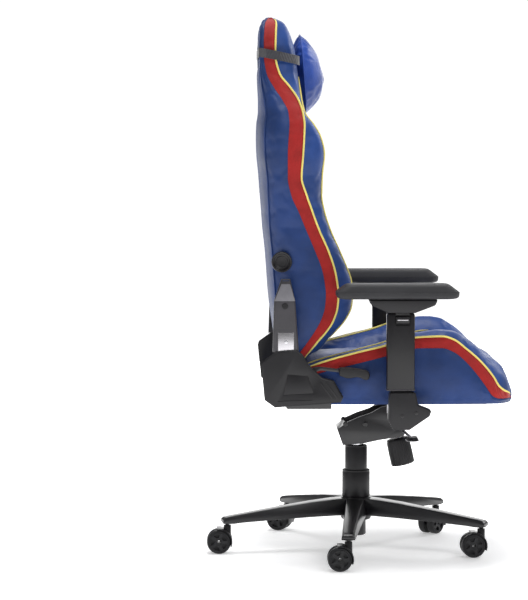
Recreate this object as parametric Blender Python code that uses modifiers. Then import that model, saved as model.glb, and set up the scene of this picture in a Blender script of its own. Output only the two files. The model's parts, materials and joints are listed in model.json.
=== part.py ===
"""Gaming chair with a reclining bucket back, a tilt mechanism, a gas column and five twin castors.

Frame: metres, +Z up, +X towards the front of the seat, -Y on the sitter's right.
The origin is on the floor, on the axis of the gas column.
"""

import math

import bmesh
import bpy
from mathutils import Matrix, Vector

GAP = 0.0003  # between faces that rest on each other
RUNNING = 0.0005  # between a turning or sliding piece and its seat
SIDES = (("right", -1), ("left", 1))

# Star base and castors
ARM_COUNT = 5
FIRST_ARM = math.radians(-96.0)
STEM_CIRCLE = 0.333
WHEEL_RADIUS = 0.030
TUBE_RADIUS = 0.025
COVER_WALL = 0.0018
COVER_PLAY = 0.0008  # between the telescopic covers
UPPER_COVER_RADIUS = TUBE_RADIUS + RUNNING + 0.0025
MIDDLE_COVER_RADIUS = UPPER_COVER_RADIUS + COVER_PLAY + COVER_WALL
LOWER_COVER_RADIUS = MIDDLE_COVER_RADIUS + COVER_PLAY + 2 * COVER_WALL
HUB_RADIUS = LOWER_COVER_RADIUS + 0.003
ARM_TIP_BOTTOM = 2 * WHEEL_RADIUS + 0.014
ARM_TIP_TOP = ARM_TIP_BOTTOM + 0.019
HUB_BOTTOM = ARM_TIP_BOTTOM + 0.001
HUB_TOP = HUB_BOTTOM + 0.058
ARM_ROOT_TOP = HUB_TOP - 0.002
ARM_ROOT_BOTTOM = HUB_BOTTOM + 0.013
ARM_ROOT_HALF_WIDTH = 0.029
ARM_TIP_HALF_WIDTH = 0.0165
ARM_CROWN = 0.55  # width of an arm's top as a share of its foot
WHEEL_INNER = 0.0045
WHEEL_OUTER = 0.0235
WHEEL_FACES = 20
CASTOR_TRAIL = 0.021
CASTOR_HEADINGS = (0, 4, 52, -20, 0)  # degrees, one castor after another round the base
HOOD_RADIUS = WHEEL_RADIUS + 0.0035
HOOD_WALL = 0.0025
AXLE_RADIUS = 0.004
STEM_RADIUS = 0.0053
STEM_LENGTH = 0.020
SWIVEL_BOSS_RADIUS = 0.0095

# Gas column and its three telescopic covers
TUBE_BOTTOM = 0.035
TUBE_TOP = 0.255
PISTON_RADIUS = 0.014
PISTON_PLAY = 0.0005
PISTON_BOTTOM = 0.060
LOWER_COVER_TOP = HUB_TOP + 0.068
MIDDLE_COVER_HEIGHT = 0.062
UPPER_COVER_BOTTOM = HUB_TOP + 0.009
UPPER_COVER_TOP = 0.263
PISTON_PROUD = 0.003  # above the housing floor
VALVE_PIN_RADIUS = 0.004
VALVE_PIN_LENGTH = 0.034
VALVE_PIN_PROUD = 0.009

# Tilt mechanism
HOUSING_HALF_WIDTH = 0.055
HOUSING_WALL = 0.005
HOUSING_FLOOR = 0.300
TILT_X = 0.095
TILT_Z = 0.362
TILT_PIN_RADIUS = 0.006
KNOB_RADIUS = 0.030
KNOB_LENGTH = 0.0675
KNOB_WALL = 0.006
KNOB_TILT = math.radians(12.7)
KNOB_FOOT = (0.1193, 0.2137)
SPRING_RADIUS = 0.016
SPRING_WIRE = 0.0022
SPRING_TURNS = 4
BOLT_RADIUS = 0.005
LEVER_AXIS_Y = -0.050
LEVER_ROD_RADIUS = 0.004
LEVER_REACH = -0.222
LEVER_X = 0.100

# Seat
SEAT_BOTTOM = 0.392
SEAT_HALF_WIDTH = 0.262
SEAT_REAR = -0.130
PLATE_THICKNESS = 0.0048
PLATE_HALF_WIDTH = 0.105
FRAME_REAR = -0.120
FRAME_FRONT = 0.300
FRAME_INSET = 0.047  # from the side of the seat to the middle of the frame tube
FRAME_HALF_WIDTH = SEAT_HALF_WIDTH - FRAME_INSET
FRAME_TUBE = 0.020
WEBBING_THICKNESS = 0.002
DUST_COVER_THICKNESS = 0.0014
# (x, centre surface, bolster crest, outer edge, half width)
# Along the seat: x, the heights over its bottom of centre, crest and piping, then how far the side lies in
SEAT_SECTIONS = (
    (-0.130, 0.086, 0.102, 0.094, 0.006),
    (-0.080, 0.097, 0.118, 0.109, 0.000),
    (-0.010, 0.099, 0.138, 0.128, 0.000),
    (0.060, 0.100, 0.157, 0.145, 0.000),
    (0.130, 0.102, 0.175, 0.164, 0.000),
    (0.195, 0.106, 0.180, 0.167, 0.000),
    (0.250, 0.109, 0.163, 0.138, 0.002),
    (0.300, 0.109, 0.120, 0.092, 0.006),
    (0.335, 0.099, 0.086, 0.043, 0.018),
    (0.357, 0.082, 0.060, 0.028, 0.040),
    (0.366, 0.060, 0.044, 0.023, 0.057),
)
SEAT_STATIONS = tuple(
    (x, *(SEAT_BOTTOM + height for height in heights), SEAT_HALF_WIDTH - inset)
    for x, *heights, inset in SEAT_SECTIONS
)

# Back
BACK_BOTTOM = 0.507
BACK_FRAME_TUBE = 0.0125
BACK_FRAME_HALF_WIDTH = SEAT_HALF_WIDTH - FRAME_INSET
# (z, half width, rear face, piping, bolster crest, centre front)
# Up the back: height, how far the side lies in from the seat's, then x of rear, piping, crest and centre
BACK_SECTIONS = (
    (0.507, 0.026, -0.1912, -0.136, -0.121, -0.132),
    (0.545, 0.015, -0.2017, -0.107, -0.082, -0.101),
    (0.600, 0.012, -0.2100, -0.066, -0.037, -0.076),
    (0.660, 0.014, -0.2173, -0.057, -0.021, -0.061),
    (0.720, 0.016, -0.2214, -0.066, -0.034, -0.063),
    (0.800, 0.014, -0.2287, -0.097, -0.068, -0.085),
    (0.900, 0.004, -0.2371, -0.134, -0.097, -0.115),
    (1.000, -0.006, -0.2454, -0.144, -0.091, -0.134),
    (1.060, -0.004, -0.2464, -0.141, -0.109, -0.156),
    (1.120, 0.022, -0.2400, -0.149, -0.142, -0.178),
    (1.190, 0.050, -0.2440, -0.192, -0.153, -0.184),
    (1.270, 0.064, -0.2460, -0.208, -0.165, -0.190),
    (1.312, 0.084, -0.2420, -0.208, -0.182, -0.198),
    (1.327, 0.112, -0.2310, -0.215, -0.198, -0.206),
)
BACK_STATIONS = tuple((z, SEAT_HALF_WIDTH - inset, *depths) for z, inset, *depths in BACK_SECTIONS)
REAR_CROWN = 0.012  # how far the sides of the rear stand forward of its middle, at its widest
HEAD_INSET = 0.058  # how much narrower the head is, where the rear is flat
LUMBAR_X = -0.194
LUMBAR_Z = 0.740
LUMBAR_KNOB_RADIUS = 0.025
LUMBAR_SHAFT_RADIUS = 0.005
LUMBAR_TRAVEL = 0.020
LUMBAR_PLATE_HALF_WIDTH = 0.120
LUMBAR_PLATE_HALF_HEIGHT = 0.080
LUMBAR_PLATE_THICKNESS = 0.005
LUMBAR_PLATE_X = -0.170
PILLOW_CENTRE = (-0.1290, 1.1960)
PILLOW_SIZE = (0.088, 0.272, 0.194)
STRAP_WIDTH = 0.022
STRAP_THICKNESS = 0.0016
STRAP_REAR_Z = 1.246
STRAP_FRONT_Z = 1.228

# Recliner, one stack of pieces on each side, measured outwards from the seat's side
RECLINE_X = -0.1565
RECLINE_Z = 0.424
BRACKET_INNER = SEAT_HALF_WIDTH + 0.002
STEEL = 0.004
DISC_THICKNESS = 0.006
DISC_RADIUS = 0.0235
SHAFT_RADIUS = 0.006
BRACKET_OUTER = BRACKET_INNER + STEEL
DISC_INNER = BRACKET_OUTER + 0.0004
UPPER_PLATE_INNER = DISC_INNER + DISC_THICKNESS + 0.0004
UPPER_PLATE_OUTER = UPPER_PLATE_INNER + STEEL
LEVER_INNER = UPPER_PLATE_OUTER + 0.0007
LEVER_OUTER = LEVER_INNER + 0.0035
UPRIGHT_COVER_INNER = BRACKET_OUTER + 0.0020
UPRIGHT_COVER_OUTER = LEVER_OUTER + 0.0032
HINGE_COVER_INNER = BRACKET_OUTER + 0.0010
HINGE_COVER_SKIN = UPRIGHT_COVER_OUTER + 0.0005
HINGE_COVER_OUTER = UPRIGHT_COVER_OUTER + 0.0043
BOLT_HEIGHTS = (0.595, 0.650)
BOLT_X = -0.180
PLATE_BOLT_RADIUS = 0.005

# Armrests
ARMREST_Y = HINGE_COVER_OUTER + 0.0125
POST_X = (0.057, 0.124)
POST_HALF_DEPTH = 0.018
POST_BOTTOM = 0.433
POST_TOP = 0.6205
SLEEVE_X = (0.0665, 0.1145)
SLEEVE_HALF_DEPTH = 0.0105
SLEEVE_TOP = 0.560
TONGUE_X = (0.078, 0.103)
TONGUE_HALF_DEPTH = 0.004
SWIVEL_STUD_RADIUS = 0.012
CARRIER_TOP = 0.654
CARRIER_HALF_DEPTH = 0.033
PAD_X = (-0.065, 0.230)
PAD_HALF_WIDTH = 0.045
PAD_TOP = 0.691

CHAIR = bpy.data.collections.new("gaming_chair")
TOOLS = bpy.data.collections.new("cutters")


def clear_scene():
    for obj in list(bpy.data.objects):
        bpy.data.objects.remove(obj, do_unlink=True)
    bpy.context.scene.collection.children.link(CHAIR)
    bpy.context.scene.collection.children.link(TOOLS)


def material(name, colour, roughness, metallic=0.0):
    found = bpy.data.materials.get(name)
    if found:
        return found
    made = bpy.data.materials.new(name)
    made.use_nodes = True
    shader = made.node_tree.nodes["Principled BSDF"]
    shader.inputs["Base Color"].default_value = (*colour, 1.0)
    shader.inputs["Roughness"].default_value = roughness
    shader.inputs["Metallic"].default_value = metallic
    made.diffuse_color = (*colour, 1.0)
    return made


def satin_black():
    return material("satin_black_enamel", (0.012, 0.012, 0.014), 0.35, 0.6)


def black_plastic():
    return material("black_plastic", (0.016, 0.016, 0.018), 0.45)


def grey_plastic():
    return material("grey_plastic", (0.09, 0.09, 0.10), 0.40)


def soft_pad():
    return material("armrest_pu_foam", (0.020, 0.020, 0.022), 0.55)


def bright_steel():
    return material("zinc_plated_steel", (0.55, 0.55, 0.57), 0.30, 1.0)


def blue_leather():
    return material("blue_pu_leather", (0.035, 0.075, 0.32), 0.50)


def black_fabric():
    return material("black_webbing", (0.010, 0.010, 0.010), 0.85)


def gather(obj, collection):
    for old in list(obj.users_collection):
        old.objects.unlink(obj)
    collection.objects.link(obj)


def as_tool(obj):
    gather(obj, TOOLS)
    obj.hide_render = True
    obj.display_type = "WIRE"
    return obj


def finish(obj, look, pivot=None, smooth=None):
    """Puts a piece in the chair's collection, on the empty that stands on its joint's axis."""
    gather(obj, CHAIR)
    obj.data.materials.clear()
    obj.data.materials.append(look)
    if smooth:
        obj.data.shade_smooth()
        obj.data.set_sharp_from_angle(angle=math.radians(smooth))
    if pivot:
        obj.parent = pivot
        obj.matrix_parent_inverse = pivot.matrix_world.inverted()
    return obj


def axis_empty(name, place, parent=None):
    empty = bpy.data.objects.new(name, None)
    empty.empty_display_size = 0.04
    empty.location = place
    CHAIR.objects.link(empty)
    bpy.context.view_layer.update()
    if parent:
        empty.parent = parent
        empty.matrix_parent_inverse = parent.matrix_world.inverted()
        bpy.context.view_layer.update()
    return empty


def object_from(bm, name):
    mesh = bpy.data.meshes.new(name)
    bm.to_mesh(mesh)
    bm.free()
    obj = bpy.data.objects.new(name, mesh)
    CHAIR.objects.link(obj)
    return obj


def bevel(obj, width, segments=2, angle=30):
    edge = obj.modifiers.new("Bevel", "BEVEL")
    edge.width = width
    edge.segments = segments
    edge.limit_method = "ANGLE"
    edge.angle_limit = math.radians(angle)
    return obj


def block(name, low, high, rounding=0.0, segments=2):
    """A box between two corners, given in any order."""
    low, high = Vector(map(min, zip(low, high))), Vector(map(max, zip(low, high)))
    bm = bmesh.new()
    size = Matrix.Diagonal((*(high - low), 1.0))
    bmesh.ops.create_cube(bm, size=1.0, matrix=Matrix.Translation((low + high) / 2) @ size)
    obj = object_from(bm, name)
    return bevel(obj, rounding, segments) if rounding else obj


def cylinder(name, start, end, radius, faces=20):
    """A round bar between two points."""
    start, end = Vector(start), Vector(end)
    turn = (end - start).to_track_quat("Z", "Y").to_matrix().to_4x4()
    bm = bmesh.new()
    bmesh.ops.create_cone(
        bm,
        cap_ends=True,
        segments=faces,
        radius1=radius,
        radius2=radius,
        depth=(end - start).length,
        matrix=Matrix.Translation((start + end) / 2) @ turn,
    )
    return object_from(bm, name)


def turned(name, profile, closed=False, faces=24):
    """A profile of (radius, height) points, outer side running down, turned round Z."""
    bm = bmesh.new()
    points = [bm.verts.new((radius, 0.0, height)) for radius, height in profile]
    pairs = list(zip(points, points[1:]))
    if closed:
        pairs.append((points[-1], points[0]))
    for pair in pairs:
        bm.edges.new(pair)
    obj = object_from(bm, name)
    screw = obj.modifiers.new("Screw", "SCREW")
    screw.steps = screw.render_steps = faces
    screw.use_merge_vertices = True
    screw.merge_threshold = 1e-6
    return obj


def sleeve_profile(inner, outer, bottom, top):
    return ((outer, top), (outer, bottom), (inner, bottom), (inner, top))


def arc(centre, radius, start, end, count):
    """Points on a circle in the side view, angles in degrees from the front."""
    turns = [math.radians(start + (end - start) * i / (count - 1)) for i in range(count)]
    return [(centre[0] + radius * math.cos(t), centre[1] + radius * math.sin(t)) for t in turns]


def extruded(name, outline, near, far):
    """A flat outline of (x, z) points, extruded along Y between two places."""
    curve = bpy.data.curves.new(name, "CURVE")
    curve.dimensions = "2D"
    curve.fill_mode = "BOTH"
    curve.extrude = abs(far - near) / 2
    spline = curve.splines.new("POLY")
    spline.points.add(len(outline) - 1)
    for point, (x, z) in zip(spline.points, outline):
        point.co = (x, z, 0.0, 1.0)
    spline.use_cyclic_u = True
    guide = bpy.data.objects.new(name, curve)
    guide.rotation_euler.x = math.radians(90)
    guide.location.y = (near + far) / 2
    CHAIR.objects.link(guide)
    return as_mesh(guide)


def rod(name, points, radius, resolution=2):
    """A round wire or tube along a line of points."""
    curve = bpy.data.curves.new(name, "CURVE")
    curve.dimensions = "3D"
    curve.bevel_depth = radius
    curve.bevel_resolution = resolution
    curve.use_fill_caps = True
    spline = curve.splines.new("POLY")
    spline.points.add(len(points) - 1)
    for point, place in zip(spline.points, points):
        point.co = (*place, 1.0)
    guide = bpy.data.objects.new(name, curve)
    CHAIR.objects.link(guide)
    return as_mesh(guide)


def as_mesh(guide):
    """The evaluated mesh of a curve, with its caps welded on, in place of the curve."""
    bpy.context.view_layer.update()
    name = guide.name
    evaluated = guide.evaluated_get(bpy.context.evaluated_depsgraph_get())
    mesh = bpy.data.meshes.new_from_object(evaluated)
    mesh.transform(guide.matrix_world)
    bm = bmesh.new()
    bm.from_mesh(mesh)
    bmesh.ops.remove_doubles(bm, verts=bm.verts, dist=1e-6)
    bmesh.ops.recalc_face_normals(bm, faces=bm.faces)
    bm.to_mesh(mesh)
    bm.free()
    bpy.data.objects.remove(guide, do_unlink=True)
    mesh.name = name
    obj = bpy.data.objects.new(name, mesh)
    CHAIR.objects.link(obj)
    return obj


def loft(name, rings):
    """A closed skin through rings that have the same number of points."""
    bm = bmesh.new()
    rows = [[bm.verts.new(point) for point in ring] for ring in rings]
    for row, after in zip(rows, rows[1:]):
        for i in range(len(row)):
            j = (i + 1) % len(row)
            bm.faces.new((row[i], row[j], after[j], after[i]))
    bm.faces.new(rows[0])
    bm.faces.new(rows[-1])
    bmesh.ops.recalc_face_normals(bm, faces=bm.faces)
    return object_from(bm, name)


def combine(obj, other, operation):
    step = obj.modifiers.new(operation.title(), "BOOLEAN")
    step.operation = operation
    step.object = as_tool(other)
    return obj


def cut(obj, *tools):
    for tool in tools:
        combine(obj, tool, "DIFFERENCE")
    return obj


def unite(obj, *others):
    for other in others:
        combine(obj, other, "UNION")
    return obj


def offset_outline(outline, distance):
    """The outline moved by a distance, outwards where it is positive, on an anticlockwise loop."""
    moved = []
    for i, corner in enumerate(outline):
        here = Vector(corner)
        before = (here - Vector(outline[i - 1])).normalized()
        after = (Vector(outline[(i + 1) % len(outline)]) - here).normalized()
        out_before = Vector((before.y, -before.x))
        out_after = Vector((after.y, -after.x))
        middle = (out_before + out_after).normalized()
        moved.append(tuple(here + middle * (distance / max(0.4, middle.dot(out_after)))))
    return moved


# Base, column and castors


def arm_angle(number):
    return FIRST_ARM + number * math.tau / ARM_COUNT


def stem_place(number):
    turn = arm_angle(number)
    return Vector((STEM_CIRCLE * math.cos(turn), STEM_CIRCLE * math.sin(turn), 0.0))


def base_arm(number):
    """A tapered arm with a narrow top, and the round boss of its castor socket."""
    bm = bmesh.new()
    bmesh.ops.create_cube(bm, size=2.0)
    for corner in bm.verts:
        tip, top = corner.co.x > 0, corner.co.z > 0
        half_width = ARM_TIP_HALF_WIDTH if tip else ARM_ROOT_HALF_WIDTH
        heights = (ARM_TIP_BOTTOM, ARM_TIP_TOP) if tip else (ARM_ROOT_BOTTOM, ARM_ROOT_TOP)
        corner.co.x = STEM_CIRCLE if tip else 0.012
        corner.co.y *= half_width * (ARM_CROWN if top else 1.0)
        corner.co.z = heights[top]
    bm.transform(Matrix.Rotation(arm_angle(number), 4, "Z"))
    arm = object_from(bm, f"arm_{number + 1}")
    place = stem_place(number)
    foot = place + Vector((0, 0, ARM_TIP_BOTTOM))
    head = place + Vector((0, 0, ARM_TIP_TOP))
    return arm, cylinder(f"arm_boss_{number + 1}", foot, head, ARM_TIP_HALF_WIDTH, faces=14)


def star_base():
    hub = turned(
        "star_base",
        (
            (0.0, HUB_TOP),
            (HUB_RADIUS - 0.003, HUB_TOP),
            (HUB_RADIUS, HUB_TOP - 0.003),
            (HUB_RADIUS + 0.001, HUB_BOTTOM + 0.004),
            (HUB_RADIUS - 0.003, HUB_BOTTOM),
            (0.0, HUB_BOTTOM),
        ),
    )
    for number in range(ARM_COUNT):
        unite(hub, *base_arm(number))
        place = stem_place(number)
        low = place + Vector((0, 0, ARM_TIP_BOTTOM - 0.01))
        high = place + Vector((0, 0, ARM_TIP_BOTTOM + STEM_LENGTH - 0.002))
        cut(hub, cylinder(f"stem_socket_{number + 1}", low, high, STEM_RADIUS + RUNNING, faces=10))
    bore = cylinder("hub_bore", (0, 0, 0.05), (0, 0, 0.16), TUBE_RADIUS + GAP, faces=24)
    return finish(cut(hub, bore), satin_black(), smooth=35)


def castor_fork_mesh():
    """Hood, web, swivel boss and stem, with the stem's axis at the origin."""
    wheel = (-CASTOR_TRAIL, WHEEL_RADIUS)
    side = arc(wheel, HOOD_RADIUS, -20, 100, 9) + arc(wheel, 0.010, 140, 310, 5)
    half = WHEEL_OUTER + 0.0015
    hood = extruded("castor_template", side, -half, half)
    boss_top = ARM_TIP_BOTTOM - 0.0035
    unite(
        hood,
        cylinder("castor_boss", (0, 0, 0.046), (0, 0, boss_top), SWIVEL_BOSS_RADIUS, faces=14),
        cylinder(
            "castor_stem", (0, 0, boss_top - 0.002), (0, 0, boss_top + STEM_LENGTH), STEM_RADIUS, faces=10
        ),
    )
    for side_sign in (-1, 1):
        start = (wheel[0], side_sign * (WHEEL_INNER - 0.0008), wheel[1])
        end = (wheel[0], side_sign * (half + 0.004), wheel[1])
        radius = HOOD_RADIUS - HOOD_WALL
        cut(hood, cylinder(f"wheel_room_{side_sign}", start, end, radius, faces=WHEEL_FACES))
    near, far = (wheel[0], -0.01, wheel[1]), (wheel[0], 0.01, wheel[1])
    cut(hood, cylinder("axle_bore", near, far, AXLE_RADIUS + RUNNING, faces=12))
    return evaluated_mesh(hood, "castor_fork")


def castor_wheel_mesh():
    """Two wheels on one axle, turned round Y, with the axle's middle at the origin."""
    half = (
        (0.0, WHEEL_OUTER - 0.0045),
        (0.0200, WHEEL_OUTER - 0.0045),
        (0.0240, WHEEL_OUTER),
        (WHEEL_RADIUS, WHEEL_OUTER - 0.0030),
        (WHEEL_RADIUS, WHEEL_INNER + 0.0030),
        (0.0275, WHEEL_INNER),
        (AXLE_RADIUS, WHEEL_INNER),
    )
    profile = half + tuple((radius, -height) for radius, height in reversed(half))
    wheels = turned("wheel_template", profile, faces=WHEEL_FACES)
    mesh = evaluated_mesh(wheels, "castor_wheels")
    mesh.transform(Matrix.Rotation(math.radians(-90), 4, "X"))
    return mesh


def evaluated_mesh(obj, name):
    """The finished mesh of a template object, which is then removed."""
    bpy.context.view_layer.update()
    evaluated = obj.evaluated_get(bpy.context.evaluated_depsgraph_get())
    mesh = bpy.data.meshes.new_from_object(evaluated)
    mesh.name = name
    mesh.shade_smooth()
    mesh.set_sharp_from_angle(angle=math.radians(35))
    bpy.data.objects.remove(obj, do_unlink=True)
    return mesh


def castors():
    fork_mesh, wheel_mesh = castor_fork_mesh(), castor_wheel_mesh()
    fork_mesh.materials.append(black_plastic())
    wheel_mesh.materials.append(black_plastic())
    for number, heading in enumerate(CASTOR_HEADINGS, 1):
        swivel = axis_empty(f"castor_{number}_swivel_axis", stem_place(number - 1))
        swivel.rotation_euler.z = math.radians(heading)
        fork = bpy.data.objects.new(f"castor_fork_{number}", fork_mesh)
        wheels = bpy.data.objects.new(f"castor_wheels_{number}", wheel_mesh)
        wheels.location = (-CASTOR_TRAIL, 0.0, WHEEL_RADIUS)
        for piece in (fork, wheels):
            CHAIR.objects.link(piece)
            piece.parent = swivel


def gas_column():
    bore = PISTON_RADIUS + PISTON_PLAY
    tube = turned(
        "gas_cylinder_tube",
        (
            (bore, TUBE_TOP),
            (TUBE_RADIUS, TUBE_TOP),
            (TUBE_RADIUS, TUBE_BOTTOM + 0.003),
            (TUBE_RADIUS - 0.003, TUBE_BOTTOM),
            (0.0, TUBE_BOTTOM),
            (0.0, TUBE_BOTTOM + 0.006),
            (bore, TUBE_BOTTOM + 0.006),
        ),
        closed=True,
    )
    finish(tube, satin_black(), smooth=35)
    lower = turned(
        "column_cover_lower",
        sleeve_profile(MIDDLE_COVER_RADIUS + COVER_PLAY, LOWER_COVER_RADIUS, HUB_TOP + GAP, LOWER_COVER_TOP),
        closed=True,
    )
    finish(lower, black_plastic(), smooth=35)
    lift = axis_empty("column_axis", (0, 0, HUB_TOP))
    middle_bottom = HUB_TOP + 0.004
    middle = turned(
        "column_cover_middle",
        sleeve_profile(
            MIDDLE_COVER_RADIUS - COVER_WALL,
            MIDDLE_COVER_RADIUS,
            middle_bottom,
            middle_bottom + MIDDLE_COVER_HEIGHT,
        ),
        closed=True,
    )
    finish(middle, black_plastic(), lift, smooth=35)
    upper = turned(
        "column_cover_upper",
        sleeve_profile(TUBE_RADIUS + RUNNING, UPPER_COVER_RADIUS, UPPER_COVER_BOTTOM, UPPER_COVER_TOP),
        closed=True,
    )
    finish(upper, black_plastic(), lift, smooth=35)
    piston_top = HOUSING_FLOOR + PISTON_PROUD
    pin_bore = VALVE_PIN_RADIUS + RUNNING
    piston = turned(
        "gas_piston_rod",
        (
            (pin_bore, piston_top),
            (PISTON_RADIUS, piston_top),
            (PISTON_RADIUS, PISTON_BOTTOM),
            (0.0, PISTON_BOTTOM),
            (0.0, piston_top - 0.040),
            (pin_bore, piston_top - 0.040),
        ),
        closed=True,
    )
    finish(piston, bright_steel(), lift, smooth=35)
    pin_top = piston_top + VALVE_PIN_PROUD
    pin_foot = pin_top - VALVE_PIN_LENGTH
    pin = cylinder("gas_valve_pin", (0, 0, pin_foot), (0, 0, pin_top), VALVE_PIN_RADIUS, faces=12)
    finish(pin, bright_steel(), lift, smooth=35)
    return lift


# Tilt mechanism


def knob_point(height, x=0.0):
    """A point on the knob's leaning axis, a height above its foot, moved forwards by x across it."""
    lean = Vector((-math.sin(KNOB_TILT), 0.0, math.cos(KNOB_TILT)))
    across = Vector((math.cos(KNOB_TILT), 0.0, math.sin(KNOB_TILT)))
    return Vector((KNOB_FOOT[0], 0.0, KNOB_FOOT[1])) + lean * height + across * x


def tilt_housing(pivot):
    side = (
        (-0.050, 0.308),
        (-0.036, 0.269),
        (0.016, 0.273),
        (0.053, 0.281),
        (0.117, 0.291),
        (0.126, 0.345),
        (0.118, 0.375),
        (0.060, 0.365),
        (0.037, 0.351),
        (0.002, 0.339),
        (-0.025, 0.327),
    )
    half = HOUSING_HALF_WIDTH
    housing = extruded("tilt_housing", side, -half, half)
    spring_boss = cylinder(
        "spring_boss", knob_point(KNOB_LENGTH + 0.0045), knob_point(KNOB_LENGTH + 0.018), 0.020, faces=20
    )
    room = half - HOUSING_WALL
    pocket = block("housing_pocket", (-0.030, -room, HOUSING_FLOOR), (0.110, room, 0.40))
    socket = cylinder("piston_socket", (0, 0, 0.25), (0, 0, 0.31), PISTON_RADIUS + GAP, faces=24)
    bolt_hole = cylinder("bolt_hole", knob_point(0.060), knob_point(0.12), BOLT_RADIUS + RUNNING, faces=12)
    pin_hole = cylinder(
        "tilt_pin_hole", (TILT_X, -0.07, TILT_Z), (TILT_X, 0.07, TILT_Z), TILT_PIN_RADIUS + GAP, faces=16
    )
    window = block(
        "lever_window",
        (LEVER_X - 0.007, -half - 0.01, HOUSING_FLOOR + 0.006),
        (LEVER_X + 0.007, -room + 0.002, HOUSING_FLOOR + 0.028),
    )
    unite(housing, spring_boss)
    cut(housing, pocket, socket, bolt_hole, pin_hole, window)
    finish(housing, satin_black(), pivot, smooth=35)
    pin_half = half + STEEL + 0.008
    pin = cylinder(
        "tilt_pivot_pin", (TILT_X, -pin_half, TILT_Z), (TILT_X, pin_half, TILT_Z), TILT_PIN_RADIUS, faces=16
    )
    finish(pin, bright_steel(), pivot, smooth=35)


def tension_group(pivot):
    """The cup-shaped knob with its bolt, and the spring that it squeezes against the housing."""
    inner = KNOB_RADIUS - KNOB_WALL
    floor = 0.008
    knob = turned(
        "tension_knob",
        (
            (0.0, 0.105),
            (BOLT_RADIUS, 0.105),
            (BOLT_RADIUS, floor),
            (inner, floor),
            (inner, KNOB_LENGTH),
            (KNOB_RADIUS, KNOB_LENGTH),
            (KNOB_RADIUS, 0.004),
            (KNOB_RADIUS - 0.004, 0.0),
            (0.0, 0.0),
        ),
    )
    knob.location = knob_point(0.0)
    knob.rotation_euler.y = -KNOB_TILT
    axis = axis_empty("tension_axis", knob_point(0.0), pivot)
    bpy.context.view_layer.update()
    finish(knob, black_plastic(), axis, smooth=35)
    low = floor + SPRING_WIRE + GAP
    high = KNOB_LENGTH + 0.0045 - SPRING_WIRE - GAP
    count = SPRING_TURNS * 9
    coil = []
    for i in range(count + 1):
        turn = math.tau * SPRING_TURNS * i / count
        place = knob_point(low + (high - low) * i / count, SPRING_RADIUS * math.cos(turn))
        coil.append(place + Vector((0, SPRING_RADIUS * math.sin(turn), 0)))
    finish(rod("tension_spring", coil, SPRING_WIRE, 1), bright_steel(), pivot)


def lift_lever(pivot):
    """The side lever: its inner end lies over the valve pin, its outer end carries a paddle."""
    height = HOUSING_FLOOR + PISTON_PROUD + VALVE_PIN_PROUD + LEVER_ROD_RADIUS + RUNNING
    axis = axis_empty("lift_lever_axis", (LEVER_X, LEVER_AXIS_Y, height), pivot)
    route = (
        (0.0, 0.010, height),
        (0.0, -0.004, height),
        (LEVER_X - 0.010, LEVER_AXIS_Y + 0.008, height),
        (LEVER_X, LEVER_AXIS_Y, height),
        (LEVER_X + 0.004, -0.080, height - 0.001),
        (LEVER_X + 0.026, LEVER_REACH, height - 0.010),
    )
    finish(rod("lift_lever_rod", route, LEVER_ROD_RADIUS), bright_steel(), axis, smooth=40)
    tip = Vector(route[-1])
    paddle = block(
        "lift_lever_paddle",
        tip + Vector((-0.016, -0.030, -0.009)),
        tip + Vector((0.016, 0.028, 0.007)),
        0.005,
    )
    socket = rod("paddle_socket", route[-2:], LEVER_ROD_RADIUS + GAP)
    tail = cylinder("paddle_socket_end", tip - Vector((0, 0.002, 0)), tip + Vector((0, 0.001, 0)), 0.0043)
    finish(cut(paddle, socket, tail), black_plastic(), axis, smooth=35)


# Seat


def seat_ring(station):
    x, centre, crest, edge, half = station
    bottom = SEAT_BOTTOM
    right = (
        (0.0, centre),
        (0.110, centre + 0.001),
        (half - 0.104, centre + (crest - centre) * 0.22),
        (half - 0.078, centre + (crest - centre) * 0.90),
        (half - 0.055, crest),
        (half - 0.020, crest - (crest - edge) * 0.25),
        (half, edge),
        (half, bottom + 0.012),
        (half - 0.010, bottom),
        (0.0, bottom),
    )
    left = [(-y, z) for y, z in reversed(right[1:-1])]
    return [(x, y, z) for y, z in list(right) + left]


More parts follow.
